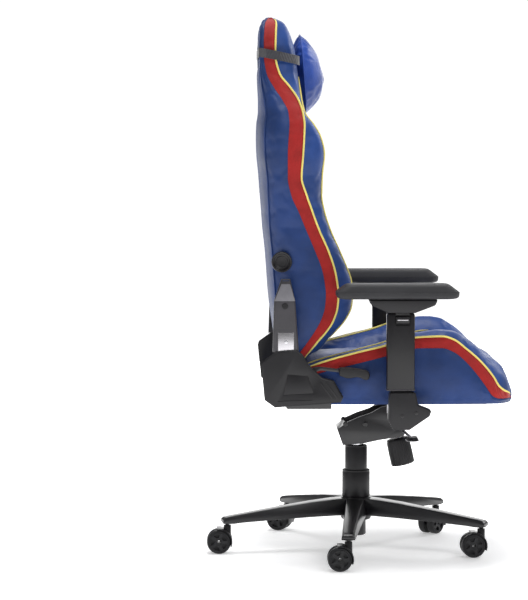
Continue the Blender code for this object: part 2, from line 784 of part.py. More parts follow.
def seat_group(pivot):
    plate_top = SEAT_BOTTOM - 0.0032
    plate_bottom = plate_top - PLATE_THICKNESS
    plate = block(
        "seat_mount_plate", (-0.095, -PLATE_HALF_WIDTH, plate_bottom), (0.155, PLATE_HALF_WIDTH, plate_top)
    )
    for _, side in SIDES:
        inner = side * (HOUSING_HALF_WIDTH + 0.0006)
        outer = side * (HOUSING_HALF_WIDTH + 0.0006 + STEEL)
        low, high = (0.074, inner, TILT_Z - 0.012), (0.116, outer, plate_top - 0.001)
        unite(plate, block(f"tilt_ear_{side}", low, high))
    hole = cylinder(
        "ear_hole", (TILT_X, -0.08, TILT_Z), (TILT_X, 0.08, TILT_Z), TILT_PIN_RADIUS + GAP, faces=16
    )
    finish(cut(plate, hole), bright_steel(), pivot)

    frame_top = SEAT_BOTTOM + FRAME_TUBE
    half = FRAME_HALF_WIDTH
    frame = block("seat_frame", (FRAME_REAR, -half, SEAT_BOTTOM), (FRAME_FRONT, half, frame_top))
    for number, (rear, front) in enumerate(((-0.050, 0.100), (0.145, 0.275))):
        low, high = (rear, -half + 0.025, SEAT_BOTTOM - 0.01), (front, half - 0.025, frame_top + 0.01)
        cut(frame, block(f"frame_window_{number}", low, high))
    finish(frame, satin_black(), pivot)

    web_bottom = frame_top + GAP
    web_top = web_bottom + WEBBING_THICKNESS
    web_half = half - 0.006
    webbing = block(
        "seat_webbing", (FRAME_REAR + 0.006, -web_half, web_bottom), (FRAME_FRONT - 0.006, web_half, web_top)
    )
    holes = bmesh.new()
    for row in range(3):
        for column in range(3):
            centre = (-0.047 + row * 0.137, (column - 1) * 0.136, web_top)
            size = Matrix.Diagonal((0.087, 0.086, 0.02, 1.0))
            bmesh.ops.create_cube(holes, size=1.0, matrix=Matrix.Translation(centre) @ size)
    finish(cut(webbing, object_from(holes, "webbing_holes")), black_fabric(), pivot)

    cover_top = SEAT_BOTTOM - GAP
    dust = block(
        "seat_dust_cover",
        (FRAME_REAR - 0.006, -half - 0.008, cover_top - DUST_COVER_THICKNESS),
        (FRAME_FRONT + 0.006, half + 0.008, cover_top),
    )
    finish(dust, black_fabric(), pivot)

    cushion = loft("seat_cushion", [seat_ring(station) for station in SEAT_STATIONS])
    recess = block(
        "seat_recess",
        (FRAME_REAR - 0.0065, -half - 0.0085, SEAT_BOTTOM - 0.01),
        (FRAME_FRONT + 0.0065, half + 0.0085, web_top + GAP),
    )
    finish(cut(cushion, recess), blue_leather(), pivot, smooth=50)
    return plate_bottom, plate_top


# Recliner


def lower_bracket(label, side, pivot, flange_low, flange_high):
    outline = [
        (-0.128, flange_low),
        (-0.074, flange_low),
        (-0.074, 0.440),
        (-0.110, 0.462),
        (-0.150, 0.466),
        (-0.196, 0.450),
        (-0.200, 0.405),
        (-0.180, flange_low),
    ]
    inner, outer = side * BRACKET_INNER, side * BRACKET_OUTER
    bracket = extruded(f"recliner_lower_bracket_{label}", outline[::-1], inner, outer)
    flange = block(f"flange_{label}", (-0.128, side * 0.125, flange_low), (-0.100, outer, flange_high))
    unite(bracket, flange)
    cut(bracket, shaft_hole(f"bracket_hole_{label}", side))
    finish(bracket, satin_black(), pivot)


def shaft_hole(name, side, radius=SHAFT_RADIUS + GAP):
    near = (RECLINE_X, side * (BRACKET_INNER - 0.014), RECLINE_Z)
    far = (RECLINE_X, side * (UPPER_PLATE_OUTER + 0.021), RECLINE_Z)
    return cylinder(name, near, far, radius, faces=16)


def upper_plate_outline():
    """A round foot on the recliner axis that grows into a straight upright."""
    foot = arc((RECLINE_X, RECLINE_Z), DISC_RADIUS + 0.0025, -150, 20, 9)
    upright = [(-0.1640, 0.520), (-0.1675, 0.630), (-0.1780, 0.680), (-0.1920, 0.680), (-0.2045, 0.640)]
    return foot + [(-0.158, 0.486)] + upright + [(-0.2045, 0.520)]


def recliner_side(label, side, seat_axis, back_axis, flange_low, flange_high):
    lower_bracket(label, side, seat_axis, flange_low, flange_high)
    disc = cylinder(
        f"recliner_disc_{label}",
        (RECLINE_X, side * DISC_INNER, RECLINE_Z),
        (RECLINE_X, side * (DISC_INNER + DISC_THICKNESS), RECLINE_Z),
        DISC_RADIUS,
        faces=24,
    )
    cut(disc, shaft_hole(f"disc_hole_{label}", side))
    finish(disc, bright_steel(), seat_axis, smooth=35)

    plate = extruded(
        f"recliner_upper_plate_{label}",
        upper_plate_outline(),
        side * UPPER_PLATE_INNER,
        side * UPPER_PLATE_OUTER,
    )
    for height in BOLT_HEIGHTS:
        tip = side * (BACK_FRAME_HALF_WIDTH + BACK_FRAME_TUBE + 0.001)
        start, end = (BOLT_X, tip, height), (BOLT_X, side * (UPPER_PLATE_INNER + 0.002), height)
        unite(plate, cylinder(f"plate_bolt_{label}_{height}", start, end, PLATE_BOLT_RADIUS, faces=12))
    cut(plate, shaft_hole(f"upper_hole_{label}", side))
    finish(plate, bright_steel(), back_axis, smooth=35)
    upright_cover(label, side, back_axis)
    hinge_cover(label, side, seat_axis)


def upright_cover(label, side, pivot):
    """A faceted channel over the upright: its lower window shows the bright plate."""
    foot = [
        (-0.217, 0.524), (-0.153, 0.524), (-0.162, 0.648), (-0.174, 0.700), (-0.196, 0.700), (-0.213, 0.648)
    ]
    crown = [
        (-0.213, 0.524), (-0.157, 0.524), (-0.165, 0.644), (-0.176, 0.690), (-0.194, 0.690), (-0.210, 0.644)
    ]
    wall = 0.003
    rings = (
        [(x, side * UPRIGHT_COVER_INNER, z) for x, z in foot],
        [(x, side * (UPRIGHT_COVER_OUTER - 0.005), z) for x, z in foot],
        [(x, side * UPRIGHT_COVER_OUTER, z) for x, z in crown],
    )
    cover = loft(f"upright_cover_{label}", rings)
    room = offset_outline(foot, -wall)
    room = [(x, z - 0.010 if z < 0.53 else z) for x, z in room]
    cavity = extruded(
        f"upright_cavity_{label}",
        room,
        side * (UPRIGHT_COVER_INNER - 0.005),
        side * (UPRIGHT_COVER_OUTER - wall),
    )
    window = block(
        f"upright_window_{label}",
        (-0.2040, side * (UPRIGHT_COVER_OUTER - 0.008), 0.515),
        (-0.1650, side * (UPRIGHT_COVER_OUTER + 0.005), 0.572),
    )
    finish(cut(cover, cavity, window), grey_plastic(), pivot)


def hinge_cover(label, side, pivot):
    """A bevelled cover over the recliner disc, open at the top and rear, where the upright swings."""
    outline = [
        (-0.211, 0.390),
        (-0.149, 0.394),
        (-0.052, 0.402),
        (-0.046, 0.4155),
        (-0.068, 0.454),
        (-0.098, 0.463),
        (-0.129, 0.493),
        (-0.145, 0.520),
        (-0.159, 0.530),
        (-0.208, 0.526),
        (-0.2416, 0.502),
        (-0.2445, 0.492),
        (-0.236, 0.408),
    ]
    face = offset_outline(outline, -0.004)
    rings = (
        [(x, side * HINGE_COVER_INNER, z) for x, z in outline],
        [(x, side * (HINGE_COVER_OUTER - 0.003), z) for x, z in outline],
        [(x, side * HINGE_COVER_OUTER, z) for x, z in face],
    )
    cover = loft(f"hinge_cover_{label}", rings)
    room = offset_outline(outline, -0.003)
    far = side * (HINGE_COVER_INNER - 0.005)
    cavity = extruded(f"hinge_cavity_{label}", room, far, side * HINGE_COVER_SKIN)
    swing = block(
        f"hinge_swing_{label}", (-0.300, far, RECLINE_Z + 0.006), (-0.088, side * HINGE_COVER_SKIN, 0.600)
    )
    badge = [(-0.190, 0.420), (-0.118, 0.424), (-0.132, 0.470), (-0.180, 0.474)]
    recess = extruded(
        f"badge_recess_{label}", badge, side * (HINGE_COVER_OUTER - 0.0012), side * (HINGE_COVER_OUTER + 0.005)
    )
    finish(cut(cover, cavity, swing, recess), black_plastic(), pivot)


def recline_lever(seat_axis):
    """The cross shaft that frees both recliners, and the arm and grip on the sitter's right."""
    axis = axis_empty("recline_lever_axis", (RECLINE_X, 0, RECLINE_Z), seat_axis)
    end = UPPER_PLATE_OUTER + 0.0004
    shaft = cylinder(
        "recline_cross_shaft", (RECLINE_X, -end, RECLINE_Z), (RECLINE_X, end, RECLINE_Z), SHAFT_RADIUS, faces=16
    )
    finish(shaft, bright_steel(), axis, smooth=35)
    outline = arc((RECLINE_X, RECLINE_Z), 0.012, 150, 330, 7)
    outline += [(-0.138, 0.432), (-0.111, 0.476), (-0.100, 0.4795), (-0.020, 0.4705), (-0.020, 0.4785)]
    outline += [(-0.100, 0.4885), (-0.118, 0.4875)]
    arm = extruded("recline_lever_arm", outline, -LEVER_INNER, -LEVER_OUTER)
    finish(arm, satin_black(), axis)
    grip_side = [
        (-0.056, 0.4660),
        (-0.036, 0.4605),
        (-0.016, 0.4630),
        (0.004, 0.4560),
        (0.017, 0.4575),
        (0.0185, 0.4730),
        (0.004, 0.4810),
        (-0.030, 0.4860),
        (-0.056, 0.4875),
    ]
    middle = (LEVER_INNER + LEVER_OUTER) / 2
    grip = extruded("recline_lever_grip", grip_side, -middle - 0.0095, -middle + 0.0095)
    bevel(grip, 0.004, 2, angle=40)
    slot_outline = [(-0.070, 0.4748), (-0.019, 0.4690), (-0.019, 0.4800), (-0.070, 0.4862)]
    slot = extruded("grip_slot", slot_outline, -LEVER_INNER + GAP, -LEVER_OUTER - GAP)
    finish(cut(grip, slot), black_plastic(), axis, smooth=35)


# Back


def interpolate(stations, place):
    """The station at a place, read straight between the two beside it."""
    for before, after in zip(stations, stations[1:]):
        if before[0] <= place <= after[0]:
            share = (place - before[0]) / (after[0] - before[0])
            return tuple(a + (b - a) * share for a, b in zip(before, after))
    return stations[0] if place < stations[0][0] else stations[-1]


def back_half(station):
    """Half of a level section of the back, from the middle of its front to the middle of its rear."""
    _, half, rear, piping, crest, centre = station
    crown = REAR_CROWN * min(1.0, max(0.0, 1.0 - (SEAT_HALF_WIDTH - half) / HEAD_INSET))
    return (
        (centre, 0.0),
        (centre, half - 0.135),
        (centre + (crest - centre) * 0.35, half - 0.100),
        (crest, half - 0.066),
        (crest - 0.004, half - 0.040),
        (piping, half),
        (rear + crown + 0.016, half),
        (rear + crown, half - 0.018),
        (rear + crown * 0.3, half * 0.52),
        (rear, 0.0),
    )


def back_ring(station):
    right = back_half(station)
    whole = list(right) + [(x, -y) for x, y in reversed(right[1:-1])]
    return [(x, y, station[0]) for x, y in whole]


def back_frame_route():
    """The bent tube of the back frame, up one side and down the other."""
    side = (
        (-0.168, BACK_FRAME_HALF_WIDTH, BACK_BOTTOM - 0.004),
        (-0.167, BACK_FRAME_HALF_WIDTH, 0.600),
        (-0.164, BACK_FRAME_HALF_WIDTH, 0.665),
        (-0.163, BACK_FRAME_HALF_WIDTH - 0.002, 0.740),
        (-0.181, BACK_FRAME_HALF_WIDTH, 0.900),
        (-0.196, BACK_FRAME_HALF_WIDTH - 0.010, 1.030),
        (-0.203, BACK_FRAME_HALF_WIDTH - 0.055, 1.140),
        (-0.208, BACK_FRAME_HALF_WIDTH - 0.075, 1.240),
        (-0.210, BACK_FRAME_HALF_WIDTH - 0.100, 1.280),
    )
    return list(side) + [(x, -y, z) for x, y, z in reversed(side)]


def back_frame_solid(name, extra, cross_extra):
    """The frame's tube and its two cross tubes, thicker by an amount to make the channel for them."""
    tube = rod(name, back_frame_route(), BACK_FRAME_TUBE + extra)
    for number, (x, z) in enumerate(((-0.172, 0.600), (-0.1885, 0.965))):
        half = BACK_FRAME_HALF_WIDTH + cross_extra
        unite(tube, cylinder(f"{name}_cross_{number}", (x, -half, z), (x, half, z), 0.010 + extra, faces=8))
    return tube


def back_group(pivot):
    frame = back_frame_solid("back_frame", 0.0, 0.0)
    finish(frame, satin_black(), pivot, smooth=50)

    cushion = loft("back_cushion", [back_ring(station) for station in BACK_STATIONS])
    channel = back_frame_solid("frame_channel", 0.0010, 0.0)
    slide = LUMBAR_PLATE_X + LUMBAR_TRAVEL + LUMBAR_PLATE_THICKNESS + 0.002
    lumbar_room = block(
        "lumbar_room",
        (LUMBAR_X - 0.010, -LUMBAR_PLATE_HALF_WIDTH - 0.002, LUMBAR_Z - LUMBAR_PLATE_HALF_HEIGHT - 0.002),
        (slide, LUMBAR_PLATE_HALF_WIDTH + 0.002, LUMBAR_Z + LUMBAR_PLATE_HALF_HEIGHT + 0.002),
    )
    shaft_bore = cylinder(
        "lumbar_bore",
        (LUMBAR_X, -SEAT_HALF_WIDTH - 0.038, LUMBAR_Z),
        (LUMBAR_X, 0.0, LUMBAR_Z),
        LUMBAR_SHAFT_RADIUS + RUNNING,
        faces=12,
    )
    cut(cushion, channel, lumbar_room, shaft_bore)
    for label, side in SIDES:
        for height in BOLT_HEIGHTS:
            start = (BOLT_X, side * (BACK_FRAME_HALF_WIDTH - 0.005), height)
            end = (BOLT_X, side * (UPPER_PLATE_OUTER + 0.011), height)
            hole = cylinder(f"bolt_room_{label}_{height}", start, end, PLATE_BOLT_RADIUS + RUNNING, faces=12)
            cut(cushion, hole)
    finish(cushion, blue_leather(), pivot, smooth=50)
    lumbar_group(pivot)
    pillow_group(pivot)


def lumbar_group(pivot):
    """The knob at the side turns a cross shaft, which pushes the support plate forwards."""
    half = interpolate(BACK_STATIONS, LUMBAR_Z)[1]
    axis = axis_empty("lumbar_axis", (LUMBAR_X, 0, LUMBAR_Z), pivot)
    knob = turned(
        "lumbar_knob",
        (
            (0.0, 0.0085),
            (0.015, 0.0065),
            (0.0205, 0.0125),
            (LUMBAR_KNOB_RADIUS - 0.001, 0.0130),
            (LUMBAR_KNOB_RADIUS, 0.0110),
            (LUMBAR_KNOB_RADIUS, 0.0),
            (0.0, 0.0),
        ),
    )
    knob.rotation_euler.x = math.radians(90)
    knob.location = (LUMBAR_X, -half - 0.001, LUMBAR_Z)
    bpy.context.view_layer.update()
    finish(knob, black_plastic(), axis, smooth=35)
    shaft = cylinder(
        "lumbar_shaft",
        (LUMBAR_X, -half - 0.001 + GAP, LUMBAR_Z),
        (LUMBAR_X, LUMBAR_PLATE_HALF_WIDTH, LUMBAR_Z),
        LUMBAR_SHAFT_RADIUS,
        faces=12,
    )
    finish(shaft, bright_steel(), axis, smooth=35)
    plate = block(
        "lumbar_plate",
        (LUMBAR_PLATE_X, -LUMBAR_PLATE_HALF_WIDTH, LUMBAR_Z - LUMBAR_PLATE_HALF_HEIGHT),
        (LUMBAR_PLATE_X + LUMBAR_PLATE_THICKNESS, LUMBAR_PLATE_HALF_WIDTH, LUMBAR_Z + LUMBAR_PLATE_HALF_HEIGHT),
    )
    finish(plate, black_plastic(), pivot)


def pillow_group(pivot):
    x, z = PILLOW_CENTRE
    half = [size / 2 for size in PILLOW_SIZE]
    pillow = block(
        "headrest_pillow", (x - half[0], -half[1], z - half[2]), (x + half[0], half[1], z + half[2]), 0.036, 3
    )
    finish(pillow, blue_leather(), pivot, smooth=60)
    strap_level = (STRAP_REAR_Z + STRAP_FRONT_Z) / 2
    widest = [max(values) for values in zip(*(
        interpolate(BACK_STATIONS, strap_level + step)[:2] for step in (-0.035, 0.0, 0.035)
    ))][1]
    station = interpolate(BACK_STATIONS, strap_level)
    front = max(interpolate(BACK_STATIONS, strap_level - 0.03)[4], station[4])
    rear = min(interpolate(BACK_STATIONS, strap_level + step)[2] for step in (-0.035, 0.035))
    clear = 0.0012
    route = [
        (front + 0.006, half[1] + 0.003),
        (front + 0.002, widest - 0.050),
        (front - 0.010, widest - 0.020),
        (station[3] + 0.004, widest + clear),
        (rear + 0.016, widest + clear),
        (rear - clear, widest - 0.022),
    ]
    route = route + [(px, -py) for px, py in reversed(route)]
    outer = [tuple(Vector(p)) for p in route]
    inner_side = []
    outer_side = []
    for i, point in enumerate(outer):
        before = Vector(outer[max(0, i - 1)])
        after = Vector(outer[min(len(outer) - 1, i + 1)])
        along = (after - before).normalized()
        away = Vector((-along.y, along.x))
        inner_side.append(Vector(point))
        outer_side.append(Vector(point) - away * STRAP_THICKNESS)
    loop = inner_side + outer_side[::-1]
    slope = (STRAP_FRONT_Z - STRAP_REAR_Z) / (front - rear)
    rings = []
    for rise in (-STRAP_WIDTH / 2, STRAP_WIDTH / 2):
        rings.append([(p.x, p.y, STRAP_REAR_Z + (p.x - rear) * slope + rise) for p in loop])
    finish(loft("pillow_strap", rings), black_fabric(), pivot)


# Armrests


def armrest(label, side, seat_axis, flange_low, flange_high):
    centre = side * ARMREST_Y

    def level(half):
        return centre - half, centre + half

    near, far = level(TONGUE_HALF_DEPTH)
    bracket = block(
        f"armrest_bracket_{label}", (TONGUE_X[0], near, flange_low), (TONGUE_X[1], far, SLEEVE_TOP - 0.004)
    )
    outer_face = centre + side * TONGUE_HALF_DEPTH
    flange_width = 0.030
    flange_front = TONGUE_X[1] + flange_width
    unite(bracket, block(f"armrest_flange_{label}", (TONGUE_X[0], side * 0.118, flange_low),
                         (TONGUE_X[1], outer_face, flange_high)))
    unite(bracket, block(f"armrest_foot_{label}", (TONGUE_X[0] - 0.010, side * 0.118, flange_low),
                         (flange_front, side * 0.175, flange_high)))
    finish(bracket, satin_black(), seat_axis)

    shroud_side = [
        (0.072, 0.339),
        (0.112, 0.339),
        (0.160, 0.372),
        (0.165, 0.386),
        (0.133, 0.398),
        (0.126, 0.4295),
        (0.064, 0.4295),
        (0.060, 0.363),
    ]
    near, far = level(POST_HALF_DEPTH + 0.003)
    shroud = extruded(f"armrest_shroud_{label}", shroud_side, near, far)
    bevel(shroud, 0.003, 1, angle=40)
    near, far = level(SLEEVE_HALF_DEPTH)
    unite(shroud, block(f"sleeve_{label}", (SLEEVE_X[0], near, 0.420), (SLEEVE_X[1], far, SLEEVE_TOP)))
    near, far = level(TONGUE_HALF_DEPTH + RUNNING)
    slot = block(
        f"tongue_slot_{label}",
        (TONGUE_X[0] - RUNNING, near, flange_low - RUNNING),
        (TONGUE_X[1] + RUNNING, far, SLEEVE_TOP + 0.01),
    )
    entry = block(
        f"flange_slot_{label}",
        (TONGUE_X[0] - RUNNING, centre - side * 0.053, flange_low - RUNNING),
        (TONGUE_X[1] + RUNNING, centre, flange_high + RUNNING),
    )
    finish(cut(shroud, slot, entry), black_plastic(), seat_axis, smooth=35)

    near, far = level(POST_HALF_DEPTH)
    post = block(
        f"armrest_post_{label}", (POST_X[0], near, POST_BOTTOM), (POST_X[1], far, POST_TOP), 0.005, 2
    )
    near, far = level(SLEEVE_HALF_DEPTH + RUNNING)
    pocket = block(
        f"post_pocket_{label}",
        (SLEEVE_X[0] - RUNNING, near, POST_BOTTOM - 0.01),
        (SLEEVE_X[1] + RUNNING, far, SLEEVE_TOP + 0.012),
    )
    swivel_x = sum(POST_X) / 2
    stud_bottom = POST_TOP - 0.020
    stud_hole = cylinder(
        f"stud_hole_{label}",
        (swivel_x, centre, stud_bottom - 0.001),
        (swivel_x, centre, POST_TOP + 0.01),
        SWIVEL_STUD_RADIUS + RUNNING,
        faces=16,
    )
    outer_face = centre + side * POST_HALF_DEPTH
    notch = block(
        f"trigger_notch_{label}",
        (0.0775, outer_face - side * 0.004, 0.590),
        (0.1115, outer_face + side * 0.01, POST_TOP - 0.0005),
    )
    post_axis = axis_empty(f"armrest_height_axis_{label}", (swivel_x, centre, POST_BOTTOM), seat_axis)
    finish(cut(post, pocket, stud_hole, notch), black_plastic(), post_axis, smooth=35)

    trigger = block(
        f"armrest_trigger_{label}",
        (0.0785, outer_face - side * 0.0036, 0.5960),
        (0.1105, outer_face + side * 0.0050, 0.6130),
        0.0015,
        1,
    )
    finish(trigger, grey_plastic(), post_axis)

    carrier_axis = axis_empty(f"armrest_swivel_axis_{label}", (swivel_x, centre, POST_TOP), post_axis)
    foot = POST_TOP + 0.0015
    carrier_side = [
        (0.058, foot),
        (0.124, foot),
        (0.172, 0.640),
        (0.178, CARRIER_TOP),
        (0.013, CARRIER_TOP),
        (0.019, 0.640),
    ]
    near, far = level(CARRIER_HALF_DEPTH)
    carrier = extruded(f"armrest_carrier_{label}", carrier_side, near, far)
    bevel(carrier, 0.0025, 1, angle=30)
    unite(
        carrier,
        cylinder(
            f"swivel_stud_{label}",
            (swivel_x, centre, stud_bottom),
            (swivel_x, centre, foot + 0.006),
            SWIVEL_STUD_RADIUS,
            faces=16,
        ),
    )
    finish(carrier, black_plastic(), carrier_axis, smooth=35)

    near, far = level(PAD_HALF_WIDTH)
    pad = block(
        f"armrest_pad_{label}", (PAD_X[0], near, CARRIER_TOP + 0.0005), (PAD_X[1], far, PAD_TOP), 0.012, 3
    )
    finish(pad, soft_pad(), carrier_axis, smooth=50)


def main():
    clear_scene()
    star_base()
    castors()
    column_axis = gas_column()
    swivel_axis = axis_empty("seat_swivel_axis", (0, 0, UPPER_COVER_TOP), column_axis)
    tilt_housing(swivel_axis)
    tension_group(swivel_axis)
    lift_lever(swivel_axis)
    tilt_axis = axis_empty("tilt_axis", (TILT_X, 0, TILT_Z), swivel_axis)
    flange_low, flange_high = seat_group(tilt_axis)
    back_axis = axis_empty("recline_axis", (RECLINE_X, 0, RECLINE_Z), tilt_axis)
    for label, side in SIDES:
        recliner_side(label, side, tilt_axis, back_axis, flange_low, flange_high)
        armrest(label, side, tilt_axis, flange_low, flange_high)
    recline_lever(tilt_axis)
    back_group(back_axis)


main()
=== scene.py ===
"""Gaming chair: padded seat and back in blue synthetic leather, on a five-arm base.

Run as a script. Each operator builds one piece, or one group of like pieces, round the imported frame.
"""

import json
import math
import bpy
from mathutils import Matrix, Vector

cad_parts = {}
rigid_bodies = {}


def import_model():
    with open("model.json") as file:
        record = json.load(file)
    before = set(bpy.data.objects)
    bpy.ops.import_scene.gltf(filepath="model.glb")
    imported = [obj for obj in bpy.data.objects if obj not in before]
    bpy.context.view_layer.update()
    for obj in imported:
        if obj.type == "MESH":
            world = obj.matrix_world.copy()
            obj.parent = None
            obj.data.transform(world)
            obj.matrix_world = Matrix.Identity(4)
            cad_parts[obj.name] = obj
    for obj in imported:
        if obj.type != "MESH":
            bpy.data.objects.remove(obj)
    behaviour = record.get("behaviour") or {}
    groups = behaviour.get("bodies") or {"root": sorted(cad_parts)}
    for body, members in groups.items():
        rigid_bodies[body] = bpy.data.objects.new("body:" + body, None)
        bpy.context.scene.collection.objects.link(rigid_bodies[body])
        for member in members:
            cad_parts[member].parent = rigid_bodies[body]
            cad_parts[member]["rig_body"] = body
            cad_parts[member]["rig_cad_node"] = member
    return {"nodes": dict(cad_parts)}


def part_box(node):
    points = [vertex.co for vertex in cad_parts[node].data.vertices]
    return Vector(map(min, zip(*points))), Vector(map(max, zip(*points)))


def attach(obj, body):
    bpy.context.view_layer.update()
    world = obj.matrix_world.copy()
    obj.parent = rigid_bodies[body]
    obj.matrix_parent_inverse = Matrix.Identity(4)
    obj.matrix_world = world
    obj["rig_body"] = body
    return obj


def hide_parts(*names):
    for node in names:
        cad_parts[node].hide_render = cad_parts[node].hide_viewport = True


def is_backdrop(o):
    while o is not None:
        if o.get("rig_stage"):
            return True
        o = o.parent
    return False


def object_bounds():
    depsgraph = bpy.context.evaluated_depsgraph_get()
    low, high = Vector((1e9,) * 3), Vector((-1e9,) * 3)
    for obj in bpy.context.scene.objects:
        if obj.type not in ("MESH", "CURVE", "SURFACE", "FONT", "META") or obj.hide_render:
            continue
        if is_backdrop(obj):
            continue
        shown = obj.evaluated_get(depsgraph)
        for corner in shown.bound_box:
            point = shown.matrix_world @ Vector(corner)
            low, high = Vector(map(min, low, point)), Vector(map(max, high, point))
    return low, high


bl_info = {
    "name": "Gaming Chair",
    "version": (1, 0, 0),
    "blender": (4, 5, 0),
    "location": "View3D > Sidebar > Chair",
    "description": "Builds a gaming chair: cushions, recliner covers, armrests, column, base and castors",
    "category": "Add Mesh",
}

import bmesh
import bpy
import numpy as np
from bpy.props import FloatProperty, FloatVectorProperty, PointerProperty
from mathutils import Matrix, Vector

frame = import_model()
NODES = frame["nodes"]
CAD_BOX = [list(corner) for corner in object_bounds()]
SIDES = (("right", -1), ("left", 1))
ARM_COUNT = 5
FIRST_ARM = math.radians(-96.0)
ARM_TURNS = [FIRST_ARM + number * math.tau / ARM_COUNT for number in range(ARM_COUNT)]
STEM_CIRCLE = 0.333  # from the column's axis to each castor's stem
WHEEL_RADIUS = 0.030
CASTOR_TRAIL = 0.021  # from the stem to the axle
CASTOR_HEADINGS = (0, 4, 52, -20, 0)  # degrees


# Colour and nodes


def channels(code):
    """The red, green and blue of a hex sRGB colour, each from 0 to 1."""
    return [int(code[start : start + 2], 16) / 255 for start in (1, 3, 5)]


def linear(code):
    """A hex sRGB colour as the linear values that a shader takes."""
    return tuple(v / 12.92 if v <= 0.04045 else ((v + 0.055) / 1.055) ** 2.4 for v in channels(code)) + (1.0,)


def srgb(values):
    """The hex code of a colour property."""
    return "#" + "".join(f"{round(255 * v):02x}" for v in values[:3])


def shade(code, factor):
    """A hex colour made lighter or darker by a factor."""
    return srgb([min(1.0, v * factor) for v in channels(code)])


def add(tree, kind, links=None, out=None, **settings):
    """A node with its settings, or its output of the name out.

    A key of links is an input; its value is a socket to link or a value to set.
    """
    node = tree.nodes.new(kind)
    for key, value in settings.items():
        setattr(node, key, value)
    for key, value in (links or {}).items():
        if isinstance(value, bpy.types.NodeSocket):
            tree.links.new(value, node.inputs[key])
        else:
            node.inputs[key].default_value = value
    return node.outputs[out] if out else node


def across(size):
    """The scale of a pattern whose features are this many millimetres across."""
    return 1000.0 / size


def finish_of(name, inputs):
    """A new material, its tree, its shader with these inputs set, and the object coordinates."""
    finish = bpy.data.materials.new(name)
    finish.use_nodes = True
    tree = finish.node_tree
    tree.nodes.clear()
    shader = add(tree, "ShaderNodeBsdfPrincipled", inputs)
    add(tree, "ShaderNodeOutputMaterial", {"Surface": shader.outputs["BSDF"]})
    return finish, tree, shader, add(tree, "ShaderNodeTexCoord", out="Object")


def tint(tree, shader, value, dark, light, start=0.35, end=0.65):
    """Colours a surface from dark to light as a value goes from start to end."""
    ramp = add(tree, "ShaderNodeValToRGB", {"Fac": value})
    dark_stop, light_stop = ramp.color_ramp.elements
    dark_stop.position, dark_stop.color = start, linear(dark)
    light_stop.position, light_stop.color = end, linear(light)
    tree.links.new(ramp.outputs["Color"], shader.inputs["Base Color"])


def dull(tree, shader, value, low, high):
    """Roughens a surface from low to high over the middle of a 0 to 1 value."""
    links = {"Value": value, "From Min": 0.3, "From Max": 0.7, "To Min": low, "To Max": high}
    tree.links.new(add(tree, "ShaderNodeMapRange", links, "Result"), shader.inputs["Roughness"])


def emboss(tree, shader, *layers):
    """Embosses a surface with layers of (height, depth in metres), each on the one before."""
    under = None
    for height, depth in layers:
        links = {"Height": height, "Distance": depth, "Strength": 1.0}
        if under is not None:
            links["Normal"] = under
        under = add(tree, "ShaderNodeBump", links, "Normal")
    tree.links.new(under, shader.inputs["Normal"])


def moulded_plastic(name, colour, roughness, depth=0.00006):
    # Glass-filled nylon out of a spark-eroded mould: dull gloss, cloudy patches where it is touched, and an
    # even grain, drawn at 0.7 mm because the real one is too fine to show.
    finish, tree, shader, place = finish_of(name, {"IOR": 1.49, "Specular IOR Level": 0.45})
    patches = add(tree, "ShaderNodeTexNoise", {"Vector": place, "Scale": across(71.43), "Detail": 4.0}, "Fac")
    tint(tree, shader, patches, shade(colour, 0.86), shade(colour, 1.10))
    dull(tree, shader, patches, roughness - 0.05, roughness + 0.07)
    grain = add(tree, "ShaderNodeTexNoise", {"Vector": place, "Scale": across(0.7143), "Detail": 2.0}, "Fac")
    emboss(tree, shader, (grain, depth))
    return finish


def satin_enamel(name, colour, roughness):
    # Powder coat baked on cast aluminium or steel: soft satin glow with a slight orange peel of about 2 mm.
    finish, tree, shader, place = finish_of(name, {"IOR": 1.52, "Coat Weight": 0.25, "Coat Roughness": 0.22})
    patches = add(tree, "ShaderNodeTexNoise", {"Vector": place, "Scale": across(111.1), "Detail": 3.0}, "Fac")
    tint(tree, shader, patches, shade(colour, 0.9), shade(colour, 1.1))
    dull(tree, shader, patches, roughness - 0.04, roughness + 0.06)
    peel = add(tree, "ShaderNodeTexNoise", {"Vector": place, "Scale": across(1.923), "Detail": 2.0}, "Fac")
    emboss(tree, shader, (peel, 0.00004))
    return finish


def worked_steel(name, colour, roughness):
    # Plated sheet and bar steel: bright, with streaks of rolling about 11 mm wide and slightly uneven gloss.
    finish, tree, shader, place = finish_of(name, {"Metallic": 1.0, "Base Color": linear(colour)})
    drawn_out = add(tree, "ShaderNodeMapping", {"Vector": place, "Scale": (1.0, 1.0, 14.0)}, "Vector")
    links = {"Vector": drawn_out, "Scale": across(11.11), "Detail": 4.0, "Roughness": 0.6}
    streaks = add(tree, "ShaderNodeTexNoise", links, "Fac")
    dull(tree, shader, streaks, roughness - 0.07, roughness + 0.09)
    emboss(tree, shader, (streaks, 0.00002))
    return finish


